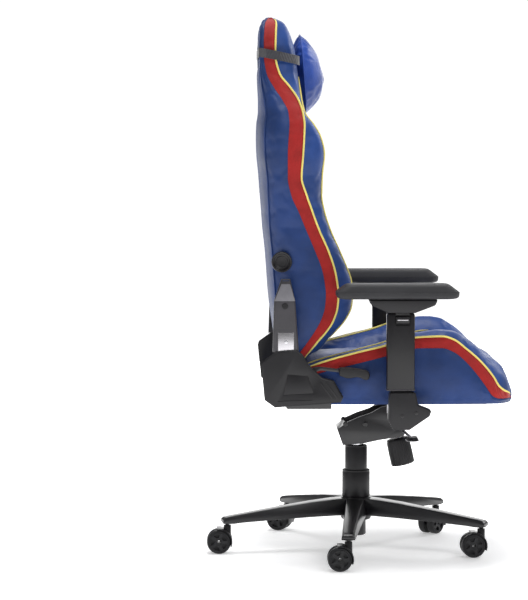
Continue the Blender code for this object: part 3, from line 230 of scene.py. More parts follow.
def pu_leather(name, colour, roughness=0.46):
    # Polyurethane leather: pressed pebble grain of about 1.6 mm, a broad soft sheen, and swells of about 22 mm
    # where the foam under it gives way.
    inputs = {"IOR": 1.45, "Specular IOR Level": 0.34, "Sheen Weight": 0.02, "Sheen Roughness": 0.5}
    finish, tree, shader, place = finish_of(name, inputs)
    slow = add(tree, "ShaderNodeTexNoise", {"Vector": place, "Scale": across(90.91), "Detail": 4.0}, "Fac")
    tint(tree, shader, slow, shade(colour, 0.90), shade(colour, 1.10))
    dull(tree, shader, slow, roughness - 0.05, roughness + 0.07)
    links = {"Vector": place, "Scale": across(1.613)}
    pebbles = add(tree, "ShaderNodeTexVoronoi", links, "Distance", feature="SMOOTH_F1")
    swells = add(tree, "ShaderNodeTexNoise", {"Vector": place, "Scale": across(21.74), "Detail": 3.0}, "Fac")
    emboss(tree, shader, (pebbles, 0.00022), (swells, 0.0011))
    return finish


def perforated_leather(name, dark, light):
    # Leather punched with 1.5 mm pin holes 6 mm apart, laid on soft foam that swells over about 20 mm.
    finish, tree, shader, place = finish_of(name, {"IOR": 1.47, "Specular IOR Level": 0.4, "Sheen Weight": 0.05})
    lean = add(tree, "ShaderNodeMapping", {"Vector": place, "Rotation": (0.0, 0.05, 0.0)}, "Vector")
    links = {"Vector": lean, "Scale": across(5.882), "Randomness": 0.0}
    reach = add(tree, "ShaderNodeTexVoronoi", links, "Distance")
    holes = add(tree, "ShaderNodeMapRange", {"Value": reach, "From Min": 0.16, "From Max": 0.28}, "Result")
    # The pin holes are painted darker than the leather between them: painted shade inside the holes
    tint(tree, shader, holes, dark, light, 0.1, 0.9)
    slow = add(tree, "ShaderNodeTexNoise", {"Vector": place, "Scale": across(83.33), "Detail": 4.0}, "Fac")
    dull(tree, shader, slow, 0.40, 0.54)
    swells = add(tree, "ShaderNodeTexNoise", {"Vector": place, "Scale": across(20.0), "Detail": 3.0}, "Fac")
    emboss(tree, shader, (holes, 0.0006), (swells, 0.0009))
    return finish


def woven(name, dark, light, pitch, depth, roughness=0.78, sheen=0.25):
    # Plain-woven polyester: crossed threads, drawn a little coarser than the real 1 mm, with a dry nap on them.
    inputs = {"Roughness": roughness, "Sheen Weight": sheen, "Sheen Roughness": 0.45, "Specular IOR Level": 0.3}
    finish, tree, shader, place = finish_of(name, inputs)
    scale = math.tau / pitch / 20.0  # a wave texture turns by 20 radians for each unit of its scale
    warp = add(tree, "ShaderNodeTexWave", {"Vector": place, "Scale": scale}, "Fac", bands_direction="Z")
    lean = add(tree, "ShaderNodeMapping", {"Vector": place, "Rotation": (0.35, 0.0, 0.6)}, "Vector")
    weft = add(tree, "ShaderNodeTexWave", {"Vector": lean, "Scale": scale}, "Fac", bands_direction="X")
    threads = add(tree, "ShaderNodeMath", {0: warp, 1: weft}, "Value", operation="MULTIPLY")
    patches = add(tree, "ShaderNodeTexNoise", {"Vector": place, "Scale": across(50.0), "Detail": 4.0}, "Fac")
    both = add(tree, "ShaderNodeMath", {0: threads, 1: patches}, "Value", operation="ADD")
    tint(tree, shader, both, dark, light, 0.25, 1.1)
    emboss(tree, shader, (threads, depth))
    return finish


LOOKS = {}


def look(name):
    """The finish of that name, made once."""
    if name not in LOOKS:
        chair = bpy.context.scene.chair_colours
        blue, red, piping = srgb(chair.leather), srgb(chair.band), srgb(chair.piping)
        makers = {
            "blue_pu_leather": (pu_leather, blue),
            # The bolsters: the same blue leather made lighter, as painted light on tops that face the light
            "pale_blue_pu_leather": (pu_leather, shade(blue, 1.18), 0.44),
            "perforated_blue_leather": (perforated_leather, shade(blue, 0.62), shade(blue, 1.22)),
            "pillow_leather": (pu_leather, srgb(chair.pillow), 0.36),
            "red_woven_band": (woven, shade(red, 0.72), shade(red, 1.10), 0.0022, 0.00035),
            "piping_cord_cover": (woven, shade(piping, 0.84), piping, 0.0016, 0.00015, 0.6, 0.1),
            "seam_thread": (woven, "#10131c", "#1b2338", 0.0012, 0.0001),
            "satin_black_enamel": (satin_enamel, "#0e0d12", 0.36),
            "black_plastic": (moulded_plastic, "#131216", 0.44),
            "smooth_black_plastic": (moulded_plastic, "#100f13", 0.34),
            "grey_plastic": (moulded_plastic, "#37363a", 0.40),
            # Painted highlight: the grey plastic made paler, for the cover's upper facet that tilts up to the
            # light
            "pale_grey_plastic": (moulded_plastic, "#706f74", 0.40),
            "bright_steel": (worked_steel, "#c4c2c6", 0.30),
            "chromed_steel": (worked_steel, "#d6d6da", 0.13),
            "castor_tyre": (moulded_plastic, "#1a1a1d", 0.50, 0.0001),
            "armrest_foam": (moulded_plastic, "#29292c", 0.62, 0.00022),
            "elastic_webbing": (woven, "#26262a", "#47474c", 0.003, 0.0005),
            "dust_cloth": (woven, "#0c0c0e", "#1a1a1d", 0.0018, 0.0002),
        }
        maker, *settings = makers[name]
        LOOKS[name] = maker(name, *settings)
    return LOOKS[name]


# Modelling


def clear_selection():
    if bpy.context.mode != "OBJECT":
        bpy.ops.object.mode_set(mode="OBJECT")
    bpy.ops.object.select_all(action="DESELECT")


def pick_object(obj):
    clear_selection()
    obj.select_set(True)
    bpy.context.view_layer.objects.active = obj
    return obj


def select(obj, kind, wanted):
    """Goes into edit mode on obj with only the verts, edges or faces chosen that wanted says."""
    if bpy.context.mode != "EDIT_MESH":
        pick_object(obj)
        bpy.ops.object.mode_set(mode="EDIT")
    bpy.ops.mesh.select_mode(type=kind)
    bpy.ops.mesh.select_all(action="DESELECT")
    mesh = bmesh.from_edit_mesh(obj.data)
    found = {"VERT": mesh.verts, "EDGE": mesh.edges, "FACE": mesh.faces}[kind]
    for item in found:
        if wanted(item):
            item.select_set(True)
    mesh.select_flush_mode()
    bmesh.update_edit_mesh(obj.data)


def leave_edit():
    bpy.ops.object.mode_set(mode="OBJECT")


def face_outwards():
    """Turns every face of the mesh in edit mode outwards, and leaves edit mode."""
    bpy.ops.mesh.select_all(action="SELECT")
    bpy.ops.mesh.normals_make_consistent(inside=False)
    leave_edit()


def drawn(name, points, closed=True):
    """A ring of edges laid on a line of points, filled as one face where closed."""
    clear_selection()
    bpy.ops.mesh.primitive_circle_add(vertices=len(points), fill_type="NGON" if closed else "NOTHING")
    obj = bpy.context.active_object
    obj.name = obj.data.name = name
    for vertex, point in zip(obj.data.vertices, points):
        vertex.co = point
    if not closed:
        last = len(points) - 1
        select(obj, "EDGE", lambda edge: {v.index for v in edge.verts} == {0, last})
        bpy.ops.mesh.delete(type="EDGE")
        leave_edit()
    return obj


def pulled(name, points, step, taper=None):
    """A drawn face pulled out by a step into a solid; taper draws its far face in or out."""
    obj = drawn(name, points)
    select(obj, "FACE", lambda face: True)
    bpy.ops.mesh.extrude_region_move(TRANSFORM_OT_translate={"value": step})
    if taper:
        bpy.ops.transform.resize(value=taper)
    face_outwards()
    return obj


def spun(name, profile, centre=(0, 0, 0), axis=(0, 0, 1), steps=48):
    """A profile of (radius, height) turned round an axis through the centre."""
    up = Vector(axis).normalized()
    out = up.orthogonal().normalized()
    points = [Vector(centre) + out * radius + up * height for radius, height in profile]
    obj = drawn(name, points, closed=False)
    select(obj, "VERT", lambda vertex: True)
    bpy.ops.mesh.spin(steps=steps, angle=math.tau, center=centre, axis=up)
    bpy.ops.mesh.select_all(action="SELECT")
    bpy.ops.mesh.remove_doubles(threshold=1e-5)
    face_outwards()
    return obj


def modify(obj, kind, **settings):
    """A modifier, applied."""
    pick_object(obj)
    modifier = obj.modifiers.new(kind.title(), kind)
    for key, value in settings.items():
        setattr(modifier, key, value)
    bpy.ops.object.modifier_apply(modifier=modifier.name)
    return obj


def rounded(obj, width, segments=2, angle=30):
    """Rounds the edges that turn by more than an angle."""
    return modify(
        obj, "BEVEL", width=width, segments=segments, limit_method="ANGLE", angle_limit=math.radians(angle),
        harden_normals=False, use_clamp_overlap=True,
    )


def carved(obj, *tools):
    """Cuts the tools out of a piece and removes them."""
    for tool in tools:
        modify(obj, "BOOLEAN", operation="DIFFERENCE", solver="EXACT", object=tool)
        bpy.data.objects.remove(tool)
    return obj


def merged(name, *parts):
    """Several shapes as one object."""
    clear_selection()
    for part in parts:
        part.select_set(True)
    bpy.context.view_layer.objects.active = parts[0]
    bpy.ops.object.join()
    obj = bpy.context.active_object
    obj.name = obj.data.name = name
    return obj


def copy_of(obj, matrix, name):
    """A copy with its own mesh, moved by a matrix that is put into the mesh."""
    clear_selection()
    twin = obj.copy()
    twin.data = obj.data.copy()
    bpy.context.scene.collection.objects.link(twin)
    twin.data.transform(matrix)
    twin.name = twin.data.name = name
    return twin


def settle(obj, body, finish, replaces=(), smooth=35):
    """Puts a finished piece's place into its mesh, gives it its finish, and ties it to its body."""
    pick_object(obj)
    bpy.ops.object.transform_apply(location=True, rotation=True, scale=True)
    bpy.ops.object.shade_smooth_by_angle(angle=math.radians(smooth))
    if finish:
        obj.data.materials.clear()
        obj.data.materials.append(look(finish))
    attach(obj, body)
    if replaces:
        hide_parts(*replaces)
    return obj


def new_object(name, points, faces):
    """An object with a mesh of these points and faces."""
    mesh = bpy.data.meshes.new(name)
    mesh.from_pydata([tuple(point) for point in points], [], faces)
    obj = bpy.data.objects.new(name, mesh)
    bpy.context.scene.collection.objects.link(obj)
    return obj


def skinned(name, rings, caps=True, loop=False):
    """Rings of the same count joined by four-sided faces."""
    count = len(rings[0])
    faces = []
    for i in range(len(rings) if loop else len(rings) - 1):
        a, b = i * count, ((i + 1) % len(rings)) * count
        faces += [(a + k, a + (k + 1) % count, b + (k + 1) % count, b + k) for k in range(count)]
    if caps:
        faces += [tuple(range(count))[::-1], tuple(range((len(rings) - 1) * count, len(rings) * count))]
    obj = new_object(name, [point for ring in rings for point in ring], faces)
    select(obj, "FACE", lambda face: True)
    face_outwards()
    return obj


def tube(name, points, radius, sides=12, closed=False):
    """A round cord or rod swept along points. Its radius may be a function of the share of its length."""
    points = [Vector(p) for p in points]
    count = len(points)
    turns = [math.tau * k / sides for k in range(sides)]
    rings = []
    normal = None
    for i, point in enumerate(points):
        if closed:
            along = (points[(i + 1) % count] - points[i - 1]).normalized()
        else:
            along = (points[min(i + 1, count - 1)] - points[max(i - 1, 0)]).normalized()
        normal = along.orthogonal() if normal is None else normal - along * normal.dot(along)
        normal.normalize()
        other = along.cross(normal)
        thick = radius(i / (count - 1)) if callable(radius) else radius
        rings.append([point + (normal * math.cos(a) + other * math.sin(a)) * thick for a in turns])
    return skinned(name, rings, caps=not closed, loop=closed)


def smooth_line(points, count):
    """Points spread evenly along a smooth curve through the given ones."""
    points = np.array(points, float)
    steps = np.r_[0, np.cumsum(np.linalg.norm(np.diff(points, axis=0), axis=1))]
    wanted = np.linspace(0, steps[-1], count)
    return [Vector([follow(steps, points[:, k], w) for k in range(points.shape[1])]) for w in wanted]


def follow(places, values, where):
    """A smooth curve through values at places, read at one place, with no overshoot."""
    i = int(min(max(np.searchsorted(places, where) - 1, 0), len(places) - 2))
    gap = places[i + 1] - places[i]
    share = min(max((where - places[i]) / gap, 0.0), 1.0)
    slopes = np.diff(values) / np.diff(places)

    def slope_at(k):
        if k == 0:
            return slopes[0]
        if k == len(values) - 1:
            return slopes[-1]
        before, after = slopes[k - 1], slopes[k]
        return 0.0 if before * after <= 0 else 2 * before * after / (before + after)

    a, b = slope_at(i) * gap, slope_at(i + 1) * gap
    s2, s3 = share * share, share**3
    start = values[i] * (2 * s3 - 3 * s2 + 1) + a * (s3 - 2 * s2 + share)
    return start + values[i + 1] * (3 * s2 - 2 * s3) + b * (s3 - s2)


# Padded pieces

# Along the seat: x, then heights of centre, crest, piping and foot of the red band, then half the width
SEAT_ROWS = (
    (-0.130, 0.478, 0.488, 0.484, 0.462, 0.256),
    (-0.080, 0.487, 0.504, 0.501, 0.477, 0.261),
    (-0.010, 0.490, 0.522, 0.520, 0.494, 0.262),
    (0.060, 0.492, 0.541, 0.537, 0.512, 0.262),
    (0.100, 0.493, 0.556, 0.549, 0.523, 0.262),
    (0.140, 0.495, 0.567, 0.557, 0.531, 0.262),
    (0.195, 0.498, 0.572, 0.559, 0.531, 0.262),
    (0.225, 0.500, 0.569, 0.550, 0.520, 0.261),
    (0.250, 0.501, 0.556, 0.531, 0.500, 0.260),
    (0.280, 0.502, 0.534, 0.506, 0.466, 0.258),
    (0.300, 0.501, 0.513, 0.485, 0.439, 0.256),
    (0.320, 0.497, 0.492, 0.460, 0.412, 0.251),
    (0.335, 0.491, 0.478, 0.436, 0.406, 0.244),
    (0.350, 0.480, 0.463, 0.424, 0.4045, 0.231),
    (0.360, 0.467, 0.447, 0.419, 0.404, 0.217),
    (0.366, 0.448, 0.434, 0.414, 0.4035, 0.203),
)
# Up the back: height, half the width, then x of rear, rear edge of the red band, piping, crest and centre
BACK_ROWS = (
    (0.507, 0.236, -0.1912, -0.1580, -0.1380, -0.1240, -0.1320),
    (0.527, 0.243, -0.1975, -0.1440, -0.1220, -0.0950, -0.1120),
    (0.545, 0.247, -0.2017, -0.1310, -0.1080, -0.0820, -0.1010),
    (0.572, 0.249, -0.2058, -0.1130, -0.0850, -0.0580, -0.0880),
    (0.600, 0.250, -0.2100, -0.0980, -0.0680, -0.0360, -0.0760),
    (0.630, 0.249, -0.2142, -0.0890, -0.0590, -0.0230, -0.0680),
    (0.660, 0.248, -0.2173, -0.0870, -0.0570, -0.0210, -0.0610),
    (0.690, 0.247, -0.2194, -0.0900, -0.0600, -0.0240, -0.0610),
    (0.720, 0.246, -0.2214, -0.0960, -0.0660, -0.0340, -0.0630),
    (0.760, 0.247, -0.2246, -0.1110, -0.0790, -0.0510, -0.0730),
    (0.817, 0.249, -0.2308, -0.1350, -0.1040, -0.0760, -0.0890),
    (0.860, 0.253, -0.2339, -0.1530, -0.1200, -0.0900, -0.1020),
    (0.900, 0.258, -0.2371, -0.1710, -0.1340, -0.0970, -0.1150),
    (0.945, 0.264, -0.2402, -0.1800, -0.1470, -0.0960, -0.1240),
    (1.000, 0.268, -0.2454, -0.1800, -0.1430, -0.0910, -0.1340),
    (1.040, 0.268, -0.2464, -0.1780, -0.1410, -0.0995, -0.1500),
    (1.070, 0.264, -0.2454, -0.1760, -0.1400, -0.1160, -0.1610),
    (1.100, 0.252, -0.2412, -0.1780, -0.1440, -0.1380, -0.1730),
    (1.130, 0.235, -0.2410, -0.1920, -0.1540, -0.1450, -0.1790),
    (1.160, 0.220, -0.2425, -0.2120, -0.1730, -0.1490, -0.1820),
    (1.195, 0.211, -0.2440, -0.2300, -0.1990, -0.1530, -0.1840),
    (1.240, 0.204, -0.2445, -0.2365, -0.2090, -0.1580, -0.1870),
    (1.275, 0.197, -0.2440, -0.2365, -0.2080, -0.1660, -0.1900),
    (1.300, 0.186, -0.2425, -0.2350, -0.2070, -0.1750, -0.1950),
    (1.316, 0.172, -0.2400, -0.2330, -0.2060, -0.1840, -0.1990),
    (1.324, 0.158, -0.2365, -0.2300, -0.2080, -0.1920, -0.2030),
    (1.327, 0.142, -0.2320, -0.2270, -0.2120, -0.2000, -0.2080),
)
BOLSTER_WIDTH = 0.112  # from the side to the seam at the bolster's foot
CREST_INSET = 0.055  # from the side to the crest of the bolster
PIPING_INSET = 0.004  # from the side to the piping
FOOT_RISE = 0.12  # of the way up from the middle to the crest, at the foot of the bolster
SKIRT_ROUNDING = 0.020  # of the edge between side and rear
CORNER_WIDTH, CORNER_DEPTH = 0.018, 0.016  # the slanting corner between side and rear
REAR_CROWN = 0.012  # how far the sides of the back's rear stand forward of its middle, at its widest
HEAD_INSET = 0.058  # how much narrower the head is, where the rear is flat
WIDEST = 0.262  # half the width from which the rear has its full crown
SIDE_PANEL = 3
CUSHION_FINISHES = (  # of the middle, the bolster, the band, the side and the rear
    "perforated_blue_leather", "pale_blue_pu_leather", "red_woven_band", "blue_pu_leather", "blue_pu_leather"
)
FOOT_SEAM, PIPING_SEAM, BAND_SEAM, REAR_SEAM, CREST_SEAM = range(5)
CAP_STEPS = ((0.10, 0.003), (0.30, 0.0055), (0.55, 0.007), (0.80, 0.0075), (0.95, 0.0075))
CAP_NARROWING = 0.06


def read_rows(rows, count):
    """Stations spread evenly along the path of the crest, every value on a smooth curve."""
    table = np.array(rows, float)
    path = np.r_[0, np.cumsum(np.hypot(np.diff(table[:, 0]), np.diff(table[:, 2])))]
    wanted = np.linspace(0, path[-1], count)
    return [[follow(path, table[:, k], w) for k in range(table.shape[1])] for w in wanted]


def bowed(a, b, count, crown, corner=0.0):
    """Points from a towards b on an arch that stands crown proud of the straight line, b left out."""
    a, b = Vector(a), Vector(b)
    along = b - a
    away = Vector((-along.y, along.x)).normalized()
    shares = [k / count for k in range(count)]
    return [a + along * s + away * crown * (4 * s * (1 - s)) ** (1 - corner) for s in shares]


def curved(points, count):
    """Points along a smooth curve through the given ones, the last left out."""
    return smooth_line(points, count + 1)[:-1]


def padded_section(station, crown):
    """Half of a section, from its middle over the bolster, down the side and back along the base.

    Gives its (across, out) points, and for each the seam that it lies on, or None, and its panel's number.
    Out is up on the seat and forwards on the back. The base is bowed by crown.
    """
    centre, crest, piping, band, base, half = station
    foot = half - BOLSTER_WIDTH
    foot_out = centre + (crest - centre) * FOOT_RISE
    points, seams, panels = [], [], []

    def panel(made, seam, number):
        points.extend(made)
        seams.extend([seam] + [None] * (len(made) - 1))
        panels.extend([number] * len(made))

    shares = np.linspace(0, 1, 15)[:-1]
    middle = [Vector((foot * s, foot_out + (centre - foot_out) * (1 - s * s))) for s in shares]
    panel(middle, None, 0)
    over = [
        (foot, foot_out),
        (half - CREST_INSET - 0.028, foot_out + (crest - foot_out) * 0.66),
        (half - CREST_INSET, crest),
        (half - 0.026, piping + (crest - piping) * 0.80),
        (half - PIPING_INSET, piping),
    ]
    panel(curved(over[:3], 10), FOOT_SEAM, 1)
    panel(curved(over[2:], 8), CREST_SEAM, 1)
    edge = base + crown
    skirt = min(SKIRT_ROUNDING, (band - edge) * 0.6)

    def side_at(out):
        slant = (edge + CORNER_DEPTH - out) / CORNER_DEPTH
        return (half - CORNER_WIDTH * min(max(slant, 0.0), 1.0), out)

    panel(bowed((half - PIPING_INSET, piping), side_at(band), 5, 0.0030), PIPING_SEAM, 2)
    panel(bowed(side_at(band), side_at(edge + skirt), 10, 0.0035), BAND_SEAM, SIDE_PANEL)
    panel(bowed(side_at(edge + skirt), (half - SKIRT_ROUNDING, edge), 5, 0.0030, 0.1), None, SIDE_PANEL)
    under = [
        Vector(((half - SKIRT_ROUNDING) * (1 - s), base + crown * (1 - s) ** 2)) for s in np.linspace(0, 1, 13)
    ]
    panel(under, REAR_SEAM, 4)
    return points, seams, panels


def mirrored(ring):
    """Half a section and its mirror image as one loop."""
    return ring + [Vector((p.x, -p.y, p.z)) for p in reversed(ring[1:-1])]


def drawn_in(loop, beside):
    """The loops past the last one of a cushion, which close its end by CAP_STEPS of (share closed, push)."""
    whole = len(loop)
    count = whole // 2 + 1
    away = (sum(loop, Vector()) / whole - sum(beside, Vector()) / whole).normalized()
    made = []
    for share, out in CAP_STEPS:
        ring = []
        for k, point in enumerate(loop):
            facing = loop[(count - 1 - k) % whole] if k < count else loop[(3 * count - 3 - k) % whole]
            middle = Vector(((point.x + facing.x) / 2, point.y, (point.z + facing.z) / 2))
            ring.append(point.lerp(middle, share) + away * out)
            ring[-1].y *= 1 - CAP_NARROWING * share
        made.append(ring)
    return made


def upholstered(name, sections):
    """The closed skin of a cushion, and for each seam its rows of points on the right and on the left."""
    halves = [padded_section(station, crown) for _, station, crown in sections]
    _, seams, panels = halves[0]
    loops = []
    for (place, _, _), (points, _, _) in zip(sections, halves):
        loops.append(mirrored([place(across, out) for across, out in points]))
    count, whole = len(panels), len(loops[0])
    loops = drawn_in(loops[0], loops[1])[::-1] + loops + drawn_in(loops[-1], loops[-2])
    before = len(CAP_STEPS)
    faces, slots = [], []
    around = panels[:-1] + panels[-2::-1]
    for i in range(len(loops) - 1):
        inside = before - 2 <= i < len(loops) + 1 - before
        for k in range(whole):
            a, b = i * whole, (i + 1) * whole
            faces.append((a + k, a + (k + 1) % whole, b + (k + 1) % whole, b + k))
            slots.append(around[k] if inside else SIDE_PANEL)
    last = (len(loops) - 1) * whole
    for start, flip in ((0, False), (last, True)):
        for k in range(count - 1):
            mirror_a, mirror_b = (whole - k) % whole, (whole - k - 1) % whole
            corners = list(dict.fromkeys((start + k, start + k + 1, start + mirror_b, start + mirror_a)))
            faces.append(tuple(corners[::-1] if flip else corners))
            slots.append(SIDE_PANEL)
    obj = new_object(name, [point for loop in loops for point in loop], faces)
    mesh = obj.data
    for finish in CUSHION_FINISHES:
        mesh.materials.append(look(finish))
    mesh.polygons.foreach_set("material_index", slots)
    sewn = {}
    for k, seam in enumerate(seams):
        if seam is not None:
            right = [i * whole + k for i in range(before, len(loops) - before)]
            left = [i * whole + (whole - k) % whole for i in range(before, len(loops) - before)]
            sewn[seam] = (right, left)
    creases = {tuple(sorted(pair)) for rows in sewn.values() for row in rows for pair in zip(row, row[1:])}
    crease = mesh.attributes.new("crease_edge", "FLOAT", "EDGE")
    sharpness = [0.75 if tuple(sorted(edge.vertices)) in creases else 0.0 for edge in mesh.edges]
    crease.data.foreach_set("value", sharpness)
    select(obj, "FACE", lambda face: True)
    face_outwards()
    return obj, sewn


def stuff(obj, held, pressure, cap, slack, frames=20):
    """Swells a skin by cloth simulation with its held points fixed, and caps how far a point may move."""
    before = np.array([v.co for v in obj.data.vertices], float)
    group = obj.vertex_groups.new(name="held")
    for index, weight in held.items():
        group.add([index], weight, "REPLACE")
    pick_object(obj)
    cloth = obj.modifiers.new("Cloth", "CLOTH")
    settings = cloth.settings
    settings.quality = 6
    settings.mass = 0.3
    settings.use_pressure = True
    settings.uniform_pressure_force = pressure
    settings.tension_stiffness = settings.compression_stiffness = 14.0
    settings.shear_stiffness = 6.0
    settings.bending_stiffness = 0.35
    settings.shrink_min = settings.shrink_max = -slack
    settings.vertex_group_mass = "held"
    settings.pin_stiffness = 1.0
    settings.effector_weights.gravity = 0.0
    cloth.collision_settings.use_collision = False
    scene = bpy.context.scene
    cloth.point_cache.frame_start, cloth.point_cache.frame_end = 1, frames
    for step in range(1, frames + 1):
        scene.frame_set(step)
    bpy.ops.object.modifier_apply(modifier=cloth.name)
    scene.frame_set(1)
    after = np.array([v.co for v in obj.data.vertices], float)
    moved = after - before
    length = np.linalg.norm(moved, axis=1, keepdims=True)
    scale = np.where(length > 1e-9, cap * np.tanh(length / cap) / np.maximum(length, 1e-9), 0.0)
    obj.data.vertices.foreach_set("co", (before + moved * scale).ravel())
    obj.data.update()
    return obj


BLOCK = 4000  # points compared with a seam at one go
END_FADE = 0.08  # the length over which folds die out at a seam's ends


def puckered(obj, rows, reach, depth, pitch):
    """Small folds that run into a seam: the skin dips and rises along it, and the folds die out over reach."""
    seam = np.array([obj.data.vertices[i].co for row in rows for i in row], float)
    path = np.r_[0, np.cumsum(np.linalg.norm(np.diff(seam[: len(rows[0])], axis=0), axis=1))]
    along = np.tile(path, len(rows))
    points = np.array([v.co for v in obj.data.vertices], float)
    normals = np.array([v.normal for v in obj.data.vertices], float)
    moved = points.copy()
    for start in range(0, len(points), BLOCK):
        block = points[start : start + BLOCK]
        gaps = np.linalg.norm(block[:, None, :] - seam[None, :, :], axis=2)
        near = gaps.argmin(axis=1)
        gap, place = gaps.min(axis=1), along[near]
        fold = np.sin(place * math.tau / pitch) + 0.7 * np.sin(place * math.tau / (pitch * 0.61) + 1.3)
        fold *= 0.6 + 0.4 * np.sin(place * 23.0)
        fold *= np.clip((along.max() - place) / END_FADE, 0, 1) * np.clip(place / END_FADE, 0, 1)
        fade = np.exp(-((gap / reach) ** 2)) * np.clip(gap / (reach * 0.25), 0, 1)
        moved[start : start + BLOCK] += normals[start : start + BLOCK] * (depth * fold * fade)[:, None]
    obj.data.vertices.foreach_set("co", moved.ravel())
    obj.data.update()
    return obj


def dressed(obj):
    """A finer skin that keeps its creases."""
    return modify(obj, "SUBSURF", levels=1, render_levels=1)


def points_of(obj, indices):
    return [obj.data.vertices[i].co.copy() for i in indices]


def seam_cords(name, obj, sewn, which, radius, proud, kept=lambda point: True):
    """Piping along a seam on both sides of a cushion, where kept says so."""
    cords = []
    for number, row in enumerate(sewn[which]):
        line = []
        for vertex in (obj.data.vertices[index] for index in row):
            if kept(vertex.co):
                line.append(vertex.co + vertex.normal * proud)
        line = smooth_line(line, max(40, len(line)))
        cords.append(tube(f"{name}_{number}", line, lambda s: radius * min(1, 0.35 + 14 * min(s, 1 - s)), 10))
    return merged(name, *cords)


QUARTERS = [quarter * math.pi / 2 for quarter in range(4)]


def stitched(name, line, normals, pitch=0.0045, length=0.0030, radius=0.0004):
    """A row of sunk stitches: short threads laid end to end along a seam."""
    pieces = []
    places = np.r_[0, np.cumsum([(b - a).length for a, b in zip(line, line[1:])])]
    for k in range(int(places[-1] / pitch)):
        ends = []
        for where in (k * pitch, k * pitch + length):
            i = min(int(np.searchsorted(places, where, side="right")) - 1, len(line) - 2)
            share = (where - places[i]) / max(places[i + 1] - places[i], 1e-9)
            ends.append(line[i].lerp(line[i + 1], share) + normals[i] * radius * 0.5)
        pieces.append(ends)
    corners, faces = [], []
    for start, end in pieces:
        along = (end - start).normalized()
        side = along.orthogonal().normalized()
        other = along.cross(side)
        base = len(corners)
        for point in (start, end):
            corners += [point + (side * math.cos(a) + other * math.sin(a)) * radius for a in QUARTERS]
        faces += [(base + j, base + (j + 1) % 4, base + 4 + (j + 1) % 4, base + 4 + j) for j in range(4)]
        faces += [(base + 3, base + 2, base + 1, base), (base + 4, base + 5, base + 6, base + 7)]
    return new_object(name, corners, faces)


def sew(label, body, cushion, sewn):
    """Stitches along the seams at the foot of each bolster and at the lower edge of each band."""
    for number, seam in enumerate((FOOT_SEAM, BAND_SEAM)):
        for side, row in enumerate(sewn[seam]):
            normals = [cushion.data.vertices[i].normal.copy() for i in row]
            threads = stitched(f"{label}_stitches_{number}_{side}", points_of(cushion, row), normals)
            settle(threads, body, "seam_thread")


def pinned(sewn, obj, extra=()):
    """Weights that hold every seam, and the points that extra says."""
    held = {index: 1.0 for rows in sewn.values() for row in rows for index in row}
    for vertex in obj.data.vertices:
        if any(test(vertex) for test in extra):
            held[vertex.index] = 1.0
    return held


class CHAIR_OT_seat_cushion(bpy.types.Operator):
    """Adds the seat cushion: bolsters, perforated middle, red side bands and piping"""

    bl_idname = "chair.seat_cushion"
    bl_label = "Seat Cushion"

    def execute(self, context):
        chair = context.scene.chair_sizes
        low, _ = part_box("seat_cushion")
        sections = []
        for x, centre, crest, piping, band, half in read_rows(SEAT_ROWS, 84):
            station = (centre, crest, piping, band, low.z, half)
            sections.append((lambda y, z, x=x: Vector((x, y, z)), station, 0.0))
        cushion, sewn = upholstered("seat_cushion_cover", sections)
        underside = low.z + 0.001
        stuff(cushion, pinned(sewn, cushion, [lambda v: v.co.z < underside]), chair.seat_fill, 0.007, 0.012)
        puckered(cushion, sewn[PIPING_SEAM], 0.020, 0.0009, 0.031)
        puckered(cushion, sewn[FOOT_SEAM], 0.024, 0.0012, 0.037)
        cords = seam_cords("seat_piping", cushion, sewn, PIPING_SEAM, chair.piping_radius, 0.0012)
        settle(cords, "seat", "piping_cord_cover")
        crest_cords = seam_cords(
            "seat_crest_piping", cushion, sewn, CREST_SEAM, chair.piping_radius * 0.9, 0.0010,
            lambda point: point.x < 0.17,
        )
        settle(crest_cords, "seat", "piping_cord_cover")
        sew("seat", "seat", cushion, sewn)
        dressed(cushion)
        settle(cushion, "seat", None, ("seat_cushion",), smooth=60)
        return {"FINISHED"}


class CHAIR_OT_back_cushion(bpy.types.Operator):
    """Adds the back cushion: winged bolsters, headrest, red side bands and piping"""

    bl_idname = "chair.back_cushion"
    bl_label = "Back Cushion"

    def execute(self, context):
        chair = context.scene.chair_sizes
        sections = []
        # The crest comes third, where read_rows looks for it
        rows = [(*row[:2], row[5], *row[2:5], row[6]) for row in BACK_ROWS]
        for z, half, crest, rear, band, piping, centre in read_rows(rows, 112):
            station = (centre, crest, piping, band, rear, half)
            crown = REAR_CROWN * min(1.0, max(0.0, 1.0 - (WIDEST - half) / HEAD_INSET))
            sections.append((lambda y, x, z=z: Vector((x, y, z)), station, crown))
        cushion, sewn = upholstered("back_cushion_cover", sections)
        low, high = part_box("pillow_strap")
        under_strap = [lambda v: low.z < v.co.z < high.z]
        stuff(cushion, pinned(sewn, cushion, under_strap), chair.back_fill, 0.007, 0.012)
        puckered(cushion, sewn[PIPING_SEAM], 0.020, 0.0008, 0.034)
        puckered(cushion, sewn[FOOT_SEAM], 0.026, 0.0014, 0.041)
        puckered(cushion, sewn[BAND_SEAM], 0.022, 0.0007, 0.045)
        cords = seam_cords("back_piping", cushion, sewn, PIPING_SEAM, chair.piping_radius, 0.0012)
        settle(cords, "back", "piping_cord_cover")
        crest_cords = seam_cords(
            "back_crest_piping", cushion, sewn, CREST_SEAM, chair.piping_radius * 0.9, 0.0010,
            lambda point: 0.545 < point.z < 1.19,
        )
        settle(crest_cords, "back", "piping_cord_cover")
        rear_cords = seam_cords("back_rear_piping", cushion, sewn, REAR_SEAM, chair.piping_radius * 0.8, 0.0008)
        settle(rear_cords, "back", "blue_pu_leather")
        sew("back", "back", cushion, sewn)
        dressed(cushion)
        settle(cushion, "back", None, ("back_cushion",), smooth=60)
        return {"FINISHED"}


